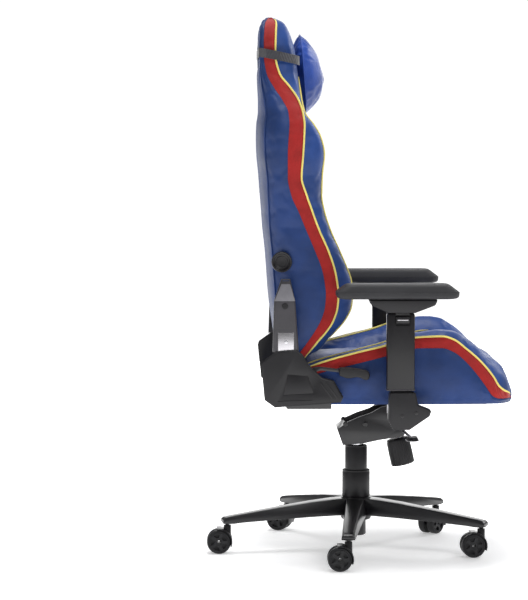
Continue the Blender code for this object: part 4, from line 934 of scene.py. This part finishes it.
class CHAIR_OT_headrest_pillow(bpy.types.Operator):
    """Adds the headrest pillow: two crowned faces drawn in to a seam all round"""

    bl_idname = "chair.headrest_pillow"
    bl_label = "Headrest Pillow"

    def execute(self, context):
        chair = context.scene.chair_sizes
        low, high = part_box("headrest_pillow")
        centre = (low + high) / 2
        half_width, half_height = (high.y - low.y) / 2, (high.z - low.z) / 2
        seam_x = centre.x - 0.008
        lean = 0.075  # the seam's plane leans: its foot stands forwards of its top
        squareness = 0.62  # 1 would be an oval
        count, rings = 96, []
        outline = []
        for k in range(count):
            c, s = math.cos(math.tau * k / count), math.sin(math.tau * k / count)
            y = half_width * math.copysign(abs(c) ** squareness, c) * (1 - 0.035 * abs(s) ** 2)
            z = half_height * math.copysign(abs(s) ** squareness, s) * (1 - 0.05 * c**4)
            outline.append((y, z))
        # From the seam to the middle of a face: share of the outline, then share of the face's depth
        fills = [(1.0, 0.0), (0.965, 0.10), (0.92, 0.22), (0.86, 0.37), (0.79, 0.52), (0.70, 0.66), (0.60, 0.79),
                 (0.49, 0.89), (0.37, 0.955), (0.24, 0.99), (0.12, 1.0)]

        def layer(share, depth):
            return [Vector((seam_x - z * lean + depth, y * share, centre.z + z * share)) for y, z in outline]

        front, back = 0.048, -0.028
        unswollen = 0.86  # of its full depth, before the simulation swells it
        for share, rise in reversed(fills):
            rings.append(layer(share, back * rise * unswollen))
        for share, rise in fills[1:]:
            rings.append(layer(share, front * rise * unswollen))
        pillow = skinned("headrest_pillow_cover", rings)
        seam = len(fills) - 1
        row = list(range(seam * count, (seam + 1) * count))
        stuff(pillow, {index: 1.0 for index in row}, chair.pillow_fill, 0.010, 0.05)
        puckered(pillow, (row + row[:1],), 0.030, 0.0022, 0.019)
        line = points_of(pillow, row)
        dressed(pillow)
        edge = tube("pillow_edge_seam", line, 0.0016, 8, closed=True)
        settle(edge, "back", "pillow_leather")
        settle(pillow, "back", "pillow_leather", ("headrest_pillow",), smooth=70)
        return {"FINISHED"}


class CHAIR_OT_pillow_strap(bpy.types.Operator):
    """Adds the flat elastic strap that runs round the head of the back"""

    bl_idname = "chair.pillow_strap"
    bl_label = "Pillow Strap"

    def execute(self, context):
        strap = refined("pillow_strap", "pillow_strap_webbing", 0.0, triangles=True)
        settle(strap, "back", "elastic_webbing", ("pillow_strap",), smooth=40)
        return {"FINISHED"}


# Rigid pieces


def refined(node, name, width, segments=2, angle=28, triangles=False):
    """A merged copy of a CAD node's shape with its flat faces made whole and its edges rounded."""
    obj = copy_of(NODES[node], Matrix.Identity(4), name)
    obj.parent = None
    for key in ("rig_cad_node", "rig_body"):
        if key in obj:
            del obj[key]
    select(obj, "FACE", lambda face: True)
    bpy.ops.mesh.remove_doubles(threshold=2e-5)
    bpy.ops.mesh.dissolve_limited(angle_limit=math.radians(1.5))
    if triangles:
        bpy.ops.mesh.quads_convert_to_tris()
    leave_edit()
    if width:
        rounded(obj, width, segments, angle)
    return obj


def recast(node, name, body, finish, width=0.0006, segments=2, angle=28, smooth=35):
    """A CAD node's shape with rounded edges and a finish, in the node's place."""
    return settle(refined(node, name, width, segments, angle), body, finish, (node,), smooth)


def outer_face(node, side):
    """Where a node's outer face stands across the chair."""
    low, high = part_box(node)
    return high.y if side > 0 else low.y


def plate(name, outline, face, side, sunk, thickness, rounding=0.0006):
    """A plate of (x, z) points on an outer face, which starts sunk inside it."""
    points = [Vector((x, face - side * sunk, z)) for x, z in outline]
    return rounded(pulled(name, points, (0, side * thickness, 0)), rounding)


def round_head(name, centre, axis, radius, height):
    """A cap-head screw: domed rim, with a round socket sunk in it."""
    profile = [(radius, 0.0), (radius, height * 0.6), (radius * 0.93, height * 0.9), (radius * 0.82, height)]
    profile += [(radius * 0.46, height), (radius * 0.46, height * 0.35), (0.0, height * 0.35)]
    return spun(name, profile, centre, axis, 24)


class CHAIR_OT_recliner_covers(bpy.types.Operator):
    """Adds the covers of the recliner on each side, with their caps and trim"""

    bl_idname = "chair.recliner_covers"
    bl_label = "Recliner Covers"

    def execute(self, context):
        for label, side in SIDES:
            hinge_node, upright_node = f"hinge_cover_{label}", f"upright_cover_{label}"
            recast(hinge_node, f"hinge_cover_shell_{label}", "seat", "black_plastic", 0.0009, 2, 20, 30)
            face = outer_face(hinge_node, side)
            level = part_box(hinge_node)[0].z + 0.057
            trim = [(-0.035, -0.026), (0.037, -0.022), (0.023, 0.019), (-0.025, 0.023)]
            badge = [(-0.155 + x, level + z) for x, z in trim]
            settle(plate(f"hinge_badge_{label}", badge, face, side, 0.0011, 0.0008), "seat", "black_plastic")
            strips = []
            for number, (start, end) in enumerate((
                ((-0.102, 0.452), (-0.072, 0.410)), ((-0.088, 0.452), (-0.060, 0.411)),
                ((-0.205, 0.404), (-0.120, 0.407)),
            )):
                a, b = Vector(start), Vector(end)
                half = (b - a).orthogonal().normalized() * 0.0022 * side
                strip = [a + half, b + half, b - half, a - half]
                strips.append(plate(f"strip_{number}", strip, face, side, 0.0, 0.0009))
            settle(merged(f"hinge_ribs_{label}", *strips), "seat", "black_plastic")

            recast(upright_node, f"upright_cover_shell_{label}", "back", "grey_plastic", 0.0010, 3, 20, 30)
            face = outer_face(upright_node, side)
            out = (0, side, 0)
            spot = (-0.187, face - side * 0.0004, 0.635)
            cap = round_head(f"upright_cap_{label}", spot, out, 0.0075, 0.0028)
            settle(cap, "back", "black_plastic", smooth=40)
            # A paler grey plate on the cover's upper facet: a painted highlight where the facet tilts up to the
            # light
            trim = [(-0.2125, 0.6475), (-0.1625, 0.6475), (-0.1745, 0.6885), (-0.1955, 0.6885)]
            highlight_facet = plate(f"upright_highlight_facet_{label}", trim, face, side, 0.0003, 0.0012, 0.0009)
            settle(highlight_facet, "back", "pale_grey_plastic")
            window = [(-0.2035, 0.5245), (-0.1650, 0.5245), (-0.1650, 0.5715), (-0.2035, 0.5715)]
            bright = plate(f"upright_plate_{label}", window, face, side, 0.0045, 0.0030, 0.0007)
            settle(bright, "back", "bright_steel")
            spot = (-0.184, face - side * 0.0018, 0.548)
            bolt = round_head(f"upright_bolt_{label}", spot, out, 0.0042, 0.0016)
            settle(bolt, "back", "chromed_steel", smooth=40)
        return {"FINISHED"}


class CHAIR_OT_recline_lever(bpy.types.Operator):
    """Adds the recline lever's arm and its moulded grip"""

    bl_idname = "chair.recline_lever"
    bl_label = "Recline Lever"

    def execute(self, context):
        recast("recline_lever_arm", "recline_lever_bar", "recline_lever", "satin_black_enamel")
        low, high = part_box("recline_lever_grip")
        near, far = low.y, high.y
        top = [(-0.056, 0.4872), (-0.030, 0.4862), (0.004, 0.4812), (0.0145, 0.4770), (0.0182, 0.4700)]
        wave = [(0.0165, 0.4590), (0.0105, 0.4564), (0.004, 0.4572), (-0.006, 0.4622), (-0.016, 0.4632),
                (-0.027, 0.4608), (-0.037, 0.4606), (-0.047, 0.4640), (-0.056, 0.4668)]
        outline = [Vector((x, near, z)) for x, z in smooth_line(top, 12) + smooth_line(wave, 22)]
        grip = pulled("recline_lever_handle", outline, (0, far - near, 0))
        rounded(grip, 0.0042, 4, 50)
        gap = ((-0.070, 0.4748), (-0.019, 0.4690), (-0.019, 0.4800), (-0.070, 0.4862))
        slot = pulled("slot", [Vector((x, -0.2792, z)) for x, z in gap], (0, -0.0041, 0))
        settle(carved(grip, slot), "recline_lever", "black_plastic", ("recline_lever_grip",))
        return {"FINISHED"}


class CHAIR_OT_lumbar_knob(bpy.types.Operator):
    """Adds the lumbar knob: a dished dial with a raised ring and a fluted rim"""

    bl_idname = "chair.lumbar_knob"
    bl_label = "Lumbar Knob"

    def execute(self, context):
        low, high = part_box("lumbar_knob")
        centre = ((low.x + high.x) / 2, high.y, (low.z + high.z) / 2)
        r, h = (high.x - low.x) / 2, high.y - low.y
        profile = [
            (0.0, 0.0), (r * 0.96, 0.0), (r, h * 0.08), (r, h * 0.80), (r * 0.985, h * 0.93), (r * 0.94, h),
            (r * 0.86, h), (r * 0.80, h * 0.93), (r * 0.74, h * 0.62), (r * 0.60, h * 0.52),
            (r * 0.585, h * 0.60), (r * 0.54, h * 0.63), (r * 0.50, h * 0.60), (r * 0.485, h * 0.50),
            (r * 0.2, h * 0.46), (0.0, h * 0.45),
        ]
        knob = spun("lumbar_dial", profile, centre, (0, -1, 0), 96)
        flute = [(0.0, 0.004), (0.0009, 0.004), (0.0009, 0.016), (0.0, 0.016)]
        flutes = []
        flute_count = 30
        for k in range(flute_count):
            turn = math.tau * k / flute_count
            at = Vector(centre) + Vector((math.cos(turn), 0, math.sin(turn))) * (r + 0.0004)
            flutes.append(spun(f"flute_{k}", flute, at, (0, -1, 0), 8))
        carved(knob, merged("flutes", *flutes))
        settle(knob, "lumbar_knob", "smooth_black_plastic", ("lumbar_knob",), smooth=32)
        return {"FINISHED"}


class CHAIR_OT_armrests(bpy.types.Operator):
    """Adds the armrests: shroud, sliding post, trigger, carrier and foam pad"""

    bl_idname = "chair.armrests"
    bl_label = "Armrests"

    def execute(self, context):
        for label, side in SIDES:
            self.pad(label, side)
            node = f"armrest_carrier_{label}"
            recast(node, f"armrest_carrier_body_{label}", node, "black_plastic", width=0.0008)
            post = f"armrest_post_{label}"
            recast(post, f"armrest_post_sleeve_{label}", post, "smooth_black_plastic", 0.0005)
            low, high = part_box(post)
            x0, y0, x1, y1 = low.x - 0.0006, low.y - 0.0006, high.x + 0.0006, high.y + 0.0006
            # A grey ring round the post's foot: a painted highlight where the rim catches the light
            rings = []
            for height in (low.z + 0.0012, low.z + 0.0042):
                rings.append([Vector((x, y, height)) for x, y in ((x0, y0), (x1, y0), (x1, y1), (x0, y1))])
            band = skinned(f"armrest_post_highlight_ring_{label}", rings, caps=False)
            modify(band, "SOLIDIFY", thickness=0.0009, offset=-1.0)
            rounded(band, 0.0003, 2)
            settle(band, post, "grey_plastic")
            node = f"armrest_trigger_{label}"
            recast(node, f"armrest_trigger_key_{label}", node, "smooth_black_plastic", 0.0005)
            # A bright steel lip along the trigger's outer edge: a painted highlight on the black key
            low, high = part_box(node)
            outer = outer_face(node, side) - side * 0.0006
            level = (low.z + high.z) / 2
            ends = [(low.x + 0.003, outer, level), (high.x - 0.003, outer, level)]
            lip = tube(f"armrest_trigger_highlight_{label}", ends, 0.0019, 16)
            settle(lip, node, "bright_steel")
            node = f"armrest_shroud_{label}"
            recast(node, f"armrest_shroud_body_{label}", "seat", "black_plastic")
            outer = outer_face(node, side) - side * 0.0002
            heads = [
                round_head("screw", (x, outer, z), (0, side, 0), 0.0042, 0.0016)
                for x, z in ((0.094, 0.372), (0.128, 0.380))
            ]
            settle(merged(f"armrest_shroud_screws_{label}", *heads), "seat", "satin_black_enamel", smooth=40)
        return {"FINISHED"}

    def pad(self, label, side):
        low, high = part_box(f"armrest_pad_{label}")
        height = high.z - low.z
        rings = []
        corner = 0.020
        # Up the pad: share of the height, then how far each end and each side stands in
        for rise, end, flank in (
            (0.00, 0.0150, 0.0120), (0.03, 0.0085, 0.0070), (0.08, 0.0040, 0.0030), (0.15, 0.0014, 0.0010),
            (0.22, 0.0004, 0.0002), (0.42, 0.0, 0.0), (0.47, 0.0002, 0.0001), (0.51, 0.0016, 0.0004),
            (0.56, 0.0040, 0.0008), (0.86, 0.0185, 0.0040), (0.92, 0.0218, 0.0062), (0.97, 0.0255, 0.0100),
            (0.995, 0.0300, 0.0150), (1.00, 0.0370, 0.0220),
        ):
            x0, x1 = low.x + end + corner, high.x - end - corner
            y0, y1 = low.y + flank + corner, high.y - flank - corner
            level = low.z + height * rise
            ring = []
            for quarter, (x, y) in enumerate(((x1, y1), (x0, y1), (x0, y0), (x1, y0))):
                for k in range(9):
                    turn = math.radians(90 * quarter + 90 * k / 8)
                    ring.append(Vector((x + corner * math.cos(turn), y + corner * math.sin(turn), level)))
            rings.append(ring)
        pad = skinned(f"armrest_pad_skin_{label}", rings)
        select(pad, "FACE", lambda face: len(face.verts) > 4)
        bpy.ops.mesh.inset(thickness=0.010)
        leave_edit()
        dressed(pad)
        settle(pad, f"armrest_pad_{label}", "armrest_foam", (f"armrest_pad_{label}",), smooth=40)
        rim = [Vector((p.x, p.y, low.z + height * 0.44)) for p in rings[5]]
        bead = tube(f"armrest_pad_bead_{label}", smooth_line(rim + rim[:1], 160)[:-1], 0.0006, 6, closed=True)
        settle(bead, f"armrest_pad_{label}", "armrest_foam")


class CHAIR_OT_column(bpy.types.Operator):
    """Adds the column's telescopic covers"""

    bl_idname = "chair.column"
    bl_label = "Column Covers"

    def execute(self, context):
        for node, body, lip in (
            ("column_cover_lower", "base", 0.0022), ("column_cover_middle", "middle_cover", 0.0016),
            ("column_cover_upper", "column", 0.0014),
        ):
            low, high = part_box(node)
            r, h = high.x, high.z - low.z
            wall = 0.0016
            profile = [
                (r - wall, 0.0), (r - 0.0004, 0.0), (r, 0.0006), (r, h - lip - 0.0030),
                (r - 0.0005, h - lip - 0.0022), (r - 0.0005, h - lip - 0.0012), (r, h - lip - 0.0004), (r, h - 0.0008), (r - 0.0006, h),
                (r - wall, h), (r - wall, 0.0),
            ]
            cover = spun(f"{node}_tube", profile, (0, 0, low.z), (0, 0, 1), 96)
            settle(cover, body, "black_plastic", (node,))
        return {"FINISHED"}


class CHAIR_OT_tension_knob(bpy.types.Operator):
    """Adds the ribbed tension knob under the mechanism"""

    bl_idname = "chair.tension_knob"
    bl_label = "Tension Knob"

    def execute(self, context):
        lean = math.radians(12.7)
        foot = Vector((0.1193, 0.0, 0.2137))
        axis = Vector((-math.sin(lean), 0.0, math.cos(lean)))
        across = Vector((math.cos(lean), 0.0, math.sin(lean)))
        ribs, per = 28, 8
        rings = []
        for height, shrink, depth in (
            (0.0, 0.0045, 0.0), (0.0006, 0.0022, 0.0004), (0.0022, 0.0004, 0.0011), (0.004, 0.0, 0.0012),
            (0.030, -0.0002, 0.0012), (0.056, 0.0004, 0.0012), (0.0600, 0.0008, 0.0010), (0.0622, 0.0016, 0.0),
            (0.0660, 0.0020, 0.0), (0.0675, 0.0036, 0.0),
        ):
            ring = []
            for k in range(ribs * per):
                turn = math.tau * k / (ribs * per)
                dip = depth * max(0.0, math.cos(ribs * turn)) ** 0.5
                radius = 0.0298 - shrink - dip
                spot = across * math.cos(turn) + Vector((0, 1, 0)) * math.sin(turn)
                ring.append(foot + axis * height + spot * radius)
            rings.append(ring)
        knob = skinned("tension_knob_cap", rings)
        near = 0.01
        select(
            knob, "FACE", lambda face: len(face.verts) > 4 and (face.calc_center_median() - foot).length < near
        )
        bpy.ops.mesh.inset(thickness=0.006)
        bpy.ops.mesh.extrude_region_move(TRANSFORM_OT_translate={"value": axis * 0.002})
        leave_edit()
        settle(knob, "tension_knob", "black_plastic", ("tension_knob",), smooth=50)
        bolt = tube("tension_bolt", [foot + axis * 0.05, foot + axis * 0.1045], 0.0049, 24)
        settle(bolt, "tension_knob", "bright_steel")
        return {"FINISHED"}


class CHAIR_OT_lift_lever(bpy.types.Operator):
    """Adds the gas lift lever: a bent bright rod and a leaf-shaped paddle"""

    bl_idname = "chair.lift_lever"
    bl_label = "Lift Lever"

    def execute(self, context):
        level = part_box("lift_lever_rod")[1].z - 0.004
        route = [
            (0.0, 0.0095, level), (0.0, -0.003, level), (0.004, -0.008, level), (0.086, -0.040, level),
            (0.0955, -0.0445, level), (0.0995, -0.052, level), (0.104, -0.080, level - 0.001),
            (0.126, -0.2215, level - 0.010),
        ]
        line = smooth_line(route, 90)
        rod = tube("lift_lever_bar", line, 0.0039, 20)
        settle(rod, "lift_lever", "chromed_steel", ("lift_lever_rod",), smooth=60)
        low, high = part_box("lift_lever_paddle")
        middle = (low + high) / 2
        half = [(0.0125, 0.028), (0.0158, 0.010), (0.0150, -0.012), (0.0080, -0.0265)]
        leaf = [(-x, y) for x, y in half] + [(0.0, -0.0298)] + half[::-1]
        outline = [middle + Vector((x, y, -0.0035)) for x, y in smooth_line(leaf, 34)]
        paddle = pulled("lift_lever_leaf", outline, (0, 0, 0.0085), (0.80, 0.88, 1.0))
        rounded(paddle, 0.0016, 3, 40)
        settle(paddle, "lift_lever", "black_plastic", ("lift_lever_paddle",), smooth=40)
        # A bright steel cord round the paddle's top edge: a painted highlight on the black paddle
        rim = [p + Vector((0, 0, 0.0004)) for p in outline]
        edge = tube("lift_lever_leaf_highlight", rim, 0.0008, 8, closed=True)
        settle(edge, "lift_lever", "bright_steel")
        return {"FINISHED"}


class CHAIR_OT_star_base(bpy.types.Operator):
    """Adds the five-arm base: tapering arms with flat tops round a turned hub"""

    bl_idname = "chair.star_base"
    bl_label = "Star Base"

    def execute(self, context):
        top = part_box("star_base")[1].z
        tip_low, root_high = 0.0740, 0.1310
        side = [
            (0.020, root_high), (0.060, 0.1285), (0.120, 0.1225), (0.220, 0.1090), (0.325, 0.0936),
            (0.3405, 0.0905), (0.3460, 0.0850), (0.3465, 0.0790), (0.3440, 0.0755), (0.335, 0.0745),
            (0.318, 0.0748), (0.300, 0.0768), (0.220, 0.0815), (0.120, 0.0862), (0.060, 0.0880), (0.020, 0.0880),
        ]
        root_half, tip_half, top_share = 0.0290, 0.0165, 0.74
        outline = [Vector((r, -root_half, z)) for r, z in side]
        arm = pulled("base_arm", outline, (0, 2 * root_half, 0))
        for vertex in arm.data.vertices:
            along = min(max((vertex.co.x - 0.03) / 0.31, 0.0), 1.0)
            foot = root_half + (tip_half - root_half) * along
            on_top = any(abs(vertex.co.x - r) < 1e-5 and abs(vertex.co.z - z) < 1e-5 for r, z in side[:6])
            vertex.co.y = math.copysign(foot * (top_share if on_top else 1.0), vertex.co.y)
        rounded(arm, 0.0014, 2, 18)
        boss = spun("boss", [(0.0, 0.0), (0.0105, 0.0), (0.0120, 0.0012), (0.0120, 0.012), (0.0, 0.012)],
                    (STEM_CIRCLE, 0, tip_low), (0, 0, 1), 32)
        arm = merged("base_arm", arm, boss)
        arms = [copy_of(arm, Matrix.Rotation(turn, 4, "Z"), f"arm_{k}") for k, turn in enumerate(ARM_TURNS)]
        bpy.data.objects.remove(arm)
        hub = spun("hub", [
            (0.0256, top - 0.003), (0.0262, top), (0.0345, top), (0.0370, top - 0.0012),
            (0.0380, top - 0.004), (0.0380, 0.0800), (0.0365, 0.0765), (0.0340, 0.0752), (0.0256, 0.0752),
            (0.0256, top - 0.003),
        ], (0, 0, 0), (0, 0, 1), 72)
        base = merged("star_base_casting", hub, *arms)
        settle(base, "base", "satin_black_enamel", ("star_base",), smooth=32)
        return {"FINISHED"}


class CHAIR_OT_castors(bpy.types.Operator):
    """Adds the twin wheels of the five castors, with five-spoke hubs, and their hooded forks"""

    bl_idname = "chair.castors"
    bl_label = "Castors"

    def execute(self, context):
        wheel = self.wheel()
        for number, (heading, turn) in enumerate(zip(CASTOR_HEADINGS, ARM_TURNS), 1):
            stem = Vector((math.cos(turn), math.sin(turn), 0.0)) * STEM_CIRCLE
            place = Matrix.Translation(stem) @ Matrix.Rotation(math.radians(heading), 4, "Z")
            axle = place @ Matrix.Translation((-CASTOR_TRAIL, 0.0, WHEEL_RADIUS))
            pair = [
                copy_of(wheel, axle, "wheel"), copy_of(wheel, axle @ Matrix.Rotation(math.pi, 4, "Z"), "wheel")
            ]
            wheels = merged(f"castor_wheel_pair_{number}", *pair)
            node = f"castor_wheels_{number}"
            settle(wheels, f"wheels_{number}", "castor_tyre", (node,), smooth=32)
            recast(
                f"castor_fork_{number}", f"castor_hood_{number}", f"castor_{number}", "smooth_black_plastic",
                0.0004, 2, 32,
            )
        bpy.data.objects.remove(wheel)
        return {"FINISHED"}

    def wheel(self):
        """One wheel, its axle along Y, its outer face towards -Y."""
        r, inner, outer = WHEEL_RADIUS, 0.0046, 0.0234
        profile = [
            (0.0046, -inner), (r - 0.0020, -inner), (r - 0.0004, -inner - 0.0012), (r, -inner - 0.0032),
            (r, -outer + 0.0052), (r - 0.0006, -outer + 0.0026), (r - 0.0022, -outer + 0.0008),
            (r - 0.0044, -outer + 0.0003), (r - 0.0054, -outer + 0.0012), (r - 0.0064, -outer + 0.0010),
            (r - 0.0072, -outer), (0.0086, -outer),
            (0.0078, -outer + 0.0010), (0.0046, -outer + 0.0010),
        ]
        wheel = spun("castor_wheel", profile + profile[:1], (0, 0, 0), (0, 1, 0), 72)
        windows = []
        half_window = math.radians(25)
        for k in range(5):
            middle = math.tau * (k + 0.5) / 5
            outline = []
            for radius, start, end, count in ((0.0212, -1.0, 1.0, 9), (0.0108, 0.62, -0.62, 5)):
                for j in range(count):
                    share = start + (end - start) * j / (count - 1)
                    turn = middle + half_window * share
                    outline.append(Vector((radius * math.cos(turn), -outer - 0.002, radius * math.sin(turn))))
            tool = pulled(f"window_{k}", outline, (0, 0.0085, 0))
            windows.append(rounded(tool, 0.0008, 2, 40))
        return carved(wheel, *windows)


class CHAIR_OT_mechanism(bpy.types.Operator):
    """Adds the tilt mechanism's housing with its bolts, and the brackets of the armrests and the recliner"""

    bl_idname = "chair.mechanism"
    bl_label = "Mechanism"

    def execute(self, context):
        enamel = "satin_black_enamel"
        recast("tilt_housing", "tilt_housing_shell", "mechanism", enamel, 0.0012, 3)
        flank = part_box("tilt_housing")[1].y - 0.0004
        heads = []
        for side in (-1, 1):
            for x, z in ((-0.030, 0.322), (0.020, 0.322), (0.095, 0.362)):
                heads.append(round_head("bolt", (x, side * flank, z), (0, side, 0), 0.0060, 0.0032))
        settle(merged("tilt_housing_bolts", *heads), "mechanism", enamel, smooth=40)
        for label, _ in SIDES:
            recast(f"armrest_bracket_{label}", f"armrest_bracket_bar_{label}", "seat", enamel)
            recast(f"recliner_lower_bracket_{label}", f"recliner_bracket_{label}", "seat", enamel)
        return {"FINISHED"}


class CHAIR_OT_fittings(bpy.types.Operator):
    """Gives each remaining frame piece its finish: steel, webbing, dust cloth and pins"""

    bl_idname = "chair.fittings"
    bl_label = "Frame Fittings"

    def execute(self, context):
        bright = (
            "tilt_pivot_pin", "tension_spring", "seat_mount_plate", "recliner_upper_plate", "recliner_disc",
        )
        others = {
            "gas_piston_rod": "chromed_steel", "gas_valve_pin": "chromed_steel",
            "recline_cross_shaft": "chromed_steel", "lumbar_shaft": "chromed_steel",
            "lumbar_plate": "black_plastic", "seat_webbing": "elastic_webbing", "seat_dust_cover": "dust_cloth",
        }
        for name, obj in NODES.items():
            finish = others.get(name, "bright_steel" if name.startswith(bright) else "satin_black_enamel")
            obj.data.materials.clear()
            obj.data.materials.append(look(finish))
        return {"FINISHED"}


# Each softbox: its place, the height over the chair's foot that it points at, its watts and its diameter
LAMPS = (
    ("key_softbox", (1.8, -3.0, 3.4), 0.6, 48, 1.6),
    ("top_softbox", (-0.2, 0.2, 4.2), 0.5, 125, 2.2),
    ("rim_softbox", (2.6, 2.4, 2.4), 0.8, 34, 1.4),
    ("fill_softbox", (-3.2, -2.4, 1.6), 0.7, 6, 1.8),
    ("back_softbox", (0.4, 4.6, 1.5), 0.3, 55, 3.2),
)
CAMERA_PLACE, CAMERA_AIM = (-0.34, -6.5, 1.094), (0.0165, 1.0, -0.0714)


class CHAIR_OT_studio(bpy.types.Operator):
    """Adds the pale floor, the soft lights and the camera"""

    bl_idname = "chair.studio"
    bl_label = "Studio"

    def execute(self, context):
        chair = context.scene.chair_sizes
        clear_selection()
        bpy.ops.mesh.primitive_grid_add(x_subdivisions=8, y_subdivisions=8, size=60, location=(0, 0, -0.0005))
        floor = bpy.context.active_object
        floor.name = "studio_floor"
        # Matt background paper: the far part glows white, and only the near part takes shadows
        paper, tree, shader, place = finish_of("white_paper", {"Roughness": 0.75, "Specular IOR Level": 0.15})
        tone = add(tree, "ShaderNodeTexNoise", {"Vector": place, "Scale": across(1250.0), "Detail": 2.0}, "Fac")
        tint(tree, shader, tone, "#fbfbfb", "#ffffff")
        reach = add(tree, "ShaderNodeVectorMath", {0: place}, "Value", operation="LENGTH")
        links = {"Value": reach, "From Min": 0.4, "From Max": 1.2, "To Min": 0.36}
        far = add(tree, "ShaderNodeMapRange", links, "Result")
        shader.inputs["Emission Color"].default_value = linear("#ffffff")
        tree.links.new(far, shader.inputs["Emission Strength"])
        floor.data.materials.append(paper)
        floor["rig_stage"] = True

        world = bpy.data.worlds.new("studio_air")
        bpy.context.scene.world = world
        world.use_nodes = True
        air = world.node_tree
        seen = add(air, "ShaderNodeLightPath", out="Is Camera Ray")
        strength = add(air, "ShaderNodeMapRange", {"Value": seen, "To Min": chair.air, "To Max": 1.05}, "Result")
        air.links.new(strength, air.nodes["Background"].inputs["Strength"])
        air.nodes["Background"].inputs["Color"].default_value = linear("#ffffff")

        for name, position, height, power, size in LAMPS:
            lamp = bpy.data.lights.new(name, "AREA")
            lamp.energy, lamp.shape, lamp.size = power, "DISK", size
            self.hang(name, lamp, position, Vector((0, 0, height)) - Vector(position))
        camera = bpy.data.cameras.new("studio_camera")
        camera.sensor_width, camera.lens = 36.0, chair.lens
        context.scene.camera = self.hang("studio_camera", camera, CAMERA_PLACE, Vector(CAMERA_AIM))
        context.scene.view_settings.view_transform = "Standard"
        return {"FINISHED"}

    def hang(self, name, data, position, aim):
        """A lamp or camera at a place, turned towards its aim."""
        made = bpy.data.objects.new(name, data)
        made.location = position
        made.rotation_euler = aim.to_track_quat("-Z", "Y").to_euler()
        bpy.context.scene.collection.objects.link(made)
        return made


# What a user would change


class ChairSizes(bpy.types.PropertyGroup):
    """Sizes and fills of the chair's dressing"""

    piping_radius: FloatProperty(name="Piping Radius", description="Radius of the piping cord", default=0.0024,
                                 min=0.0005, unit="LENGTH")
    seat_fill: FloatProperty(
        name="Seat Fill", description="Air pressure that swells the seat's skin", default=3.5
    )
    back_fill: FloatProperty(
        name="Back Fill", description="Air pressure that swells the back's skin", default=3.5
    )
    pillow_fill: FloatProperty(
        name="Pillow Fill", description="Air pressure that swells the pillow", default=4.0
    )
    lens: FloatProperty(name="Lens", description="Focal length of the camera in millimetres", default=155.4)
    air: FloatProperty(name="Air", description="Strength of the white light from all round", default=0.22)


def colour(name, description, code):
    """A colour property from the hex code of its default."""
    return FloatVectorProperty(
        name=name, description=description, default=channels(code), min=0.0, max=1.0, size=3,
        subtype="COLOR_GAMMA",
    )


class ChairColours(bpy.types.PropertyGroup):
    """Colours of the chair's covers"""

    leather: colour("Leather", "Blue of the cushions' synthetic leather", "#1c3568")
    pillow: colour("Pillow", "Blue of the headrest pillow", "#26428c")
    band: colour("Side Band", "Red of the woven side bands", "#9c1c1a")
    piping: colour("Piping", "Pale yellow of the piping", "#f3e27a")


OPERATORS = (
    CHAIR_OT_fittings, CHAIR_OT_seat_cushion, CHAIR_OT_back_cushion, CHAIR_OT_headrest_pillow,
    CHAIR_OT_pillow_strap, CHAIR_OT_recliner_covers, CHAIR_OT_recline_lever, CHAIR_OT_lumbar_knob,
    CHAIR_OT_armrests, CHAIR_OT_column, CHAIR_OT_tension_knob, CHAIR_OT_lift_lever, CHAIR_OT_mechanism,
    CHAIR_OT_star_base, CHAIR_OT_castors, CHAIR_OT_studio,
)


class CHAIR_PT_panel(bpy.types.Panel):
    """Lists the chair's pieces in the sidebar"""

    bl_idname = "CHAIR_PT_panel"
    bl_label = "Gaming Chair"
    bl_space_type = "VIEW_3D"
    bl_region_type = "UI"
    bl_category = "Chair"

    def draw(self, context):
        for group in (context.scene.chair_sizes, context.scene.chair_colours):
            for key in group.__annotations__:
                self.layout.prop(group, key)
        for operator in OPERATORS:
            self.layout.operator(operator.bl_idname)


def register():
    for made in (ChairSizes, ChairColours, *OPERATORS, CHAIR_PT_panel):
        bpy.utils.register_class(made)
    bpy.types.Scene.chair_sizes = PointerProperty(type=ChairSizes)
    bpy.types.Scene.chair_colours = PointerProperty(type=ChairColours)


def unregister():
    del bpy.types.Scene.chair_colours
    del bpy.types.Scene.chair_sizes
    for made in reversed((ChairSizes, ChairColours, *OPERATORS, CHAIR_PT_panel)):
        bpy.utils.unregister_class(made)


def main():
    register()
    for operator in OPERATORS:
        category, name = operator.bl_idname.split(".")
        getattr(getattr(bpy.ops, category), name)()
    clear_selection()
    sizes = {"cad": CAD_BOX, "visual": [list(corner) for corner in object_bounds()]}
    sizes = {key: [[float(v) for v in corner] for corner in box] for key, box in sizes.items()}


if __name__ == "__main__":
    main()
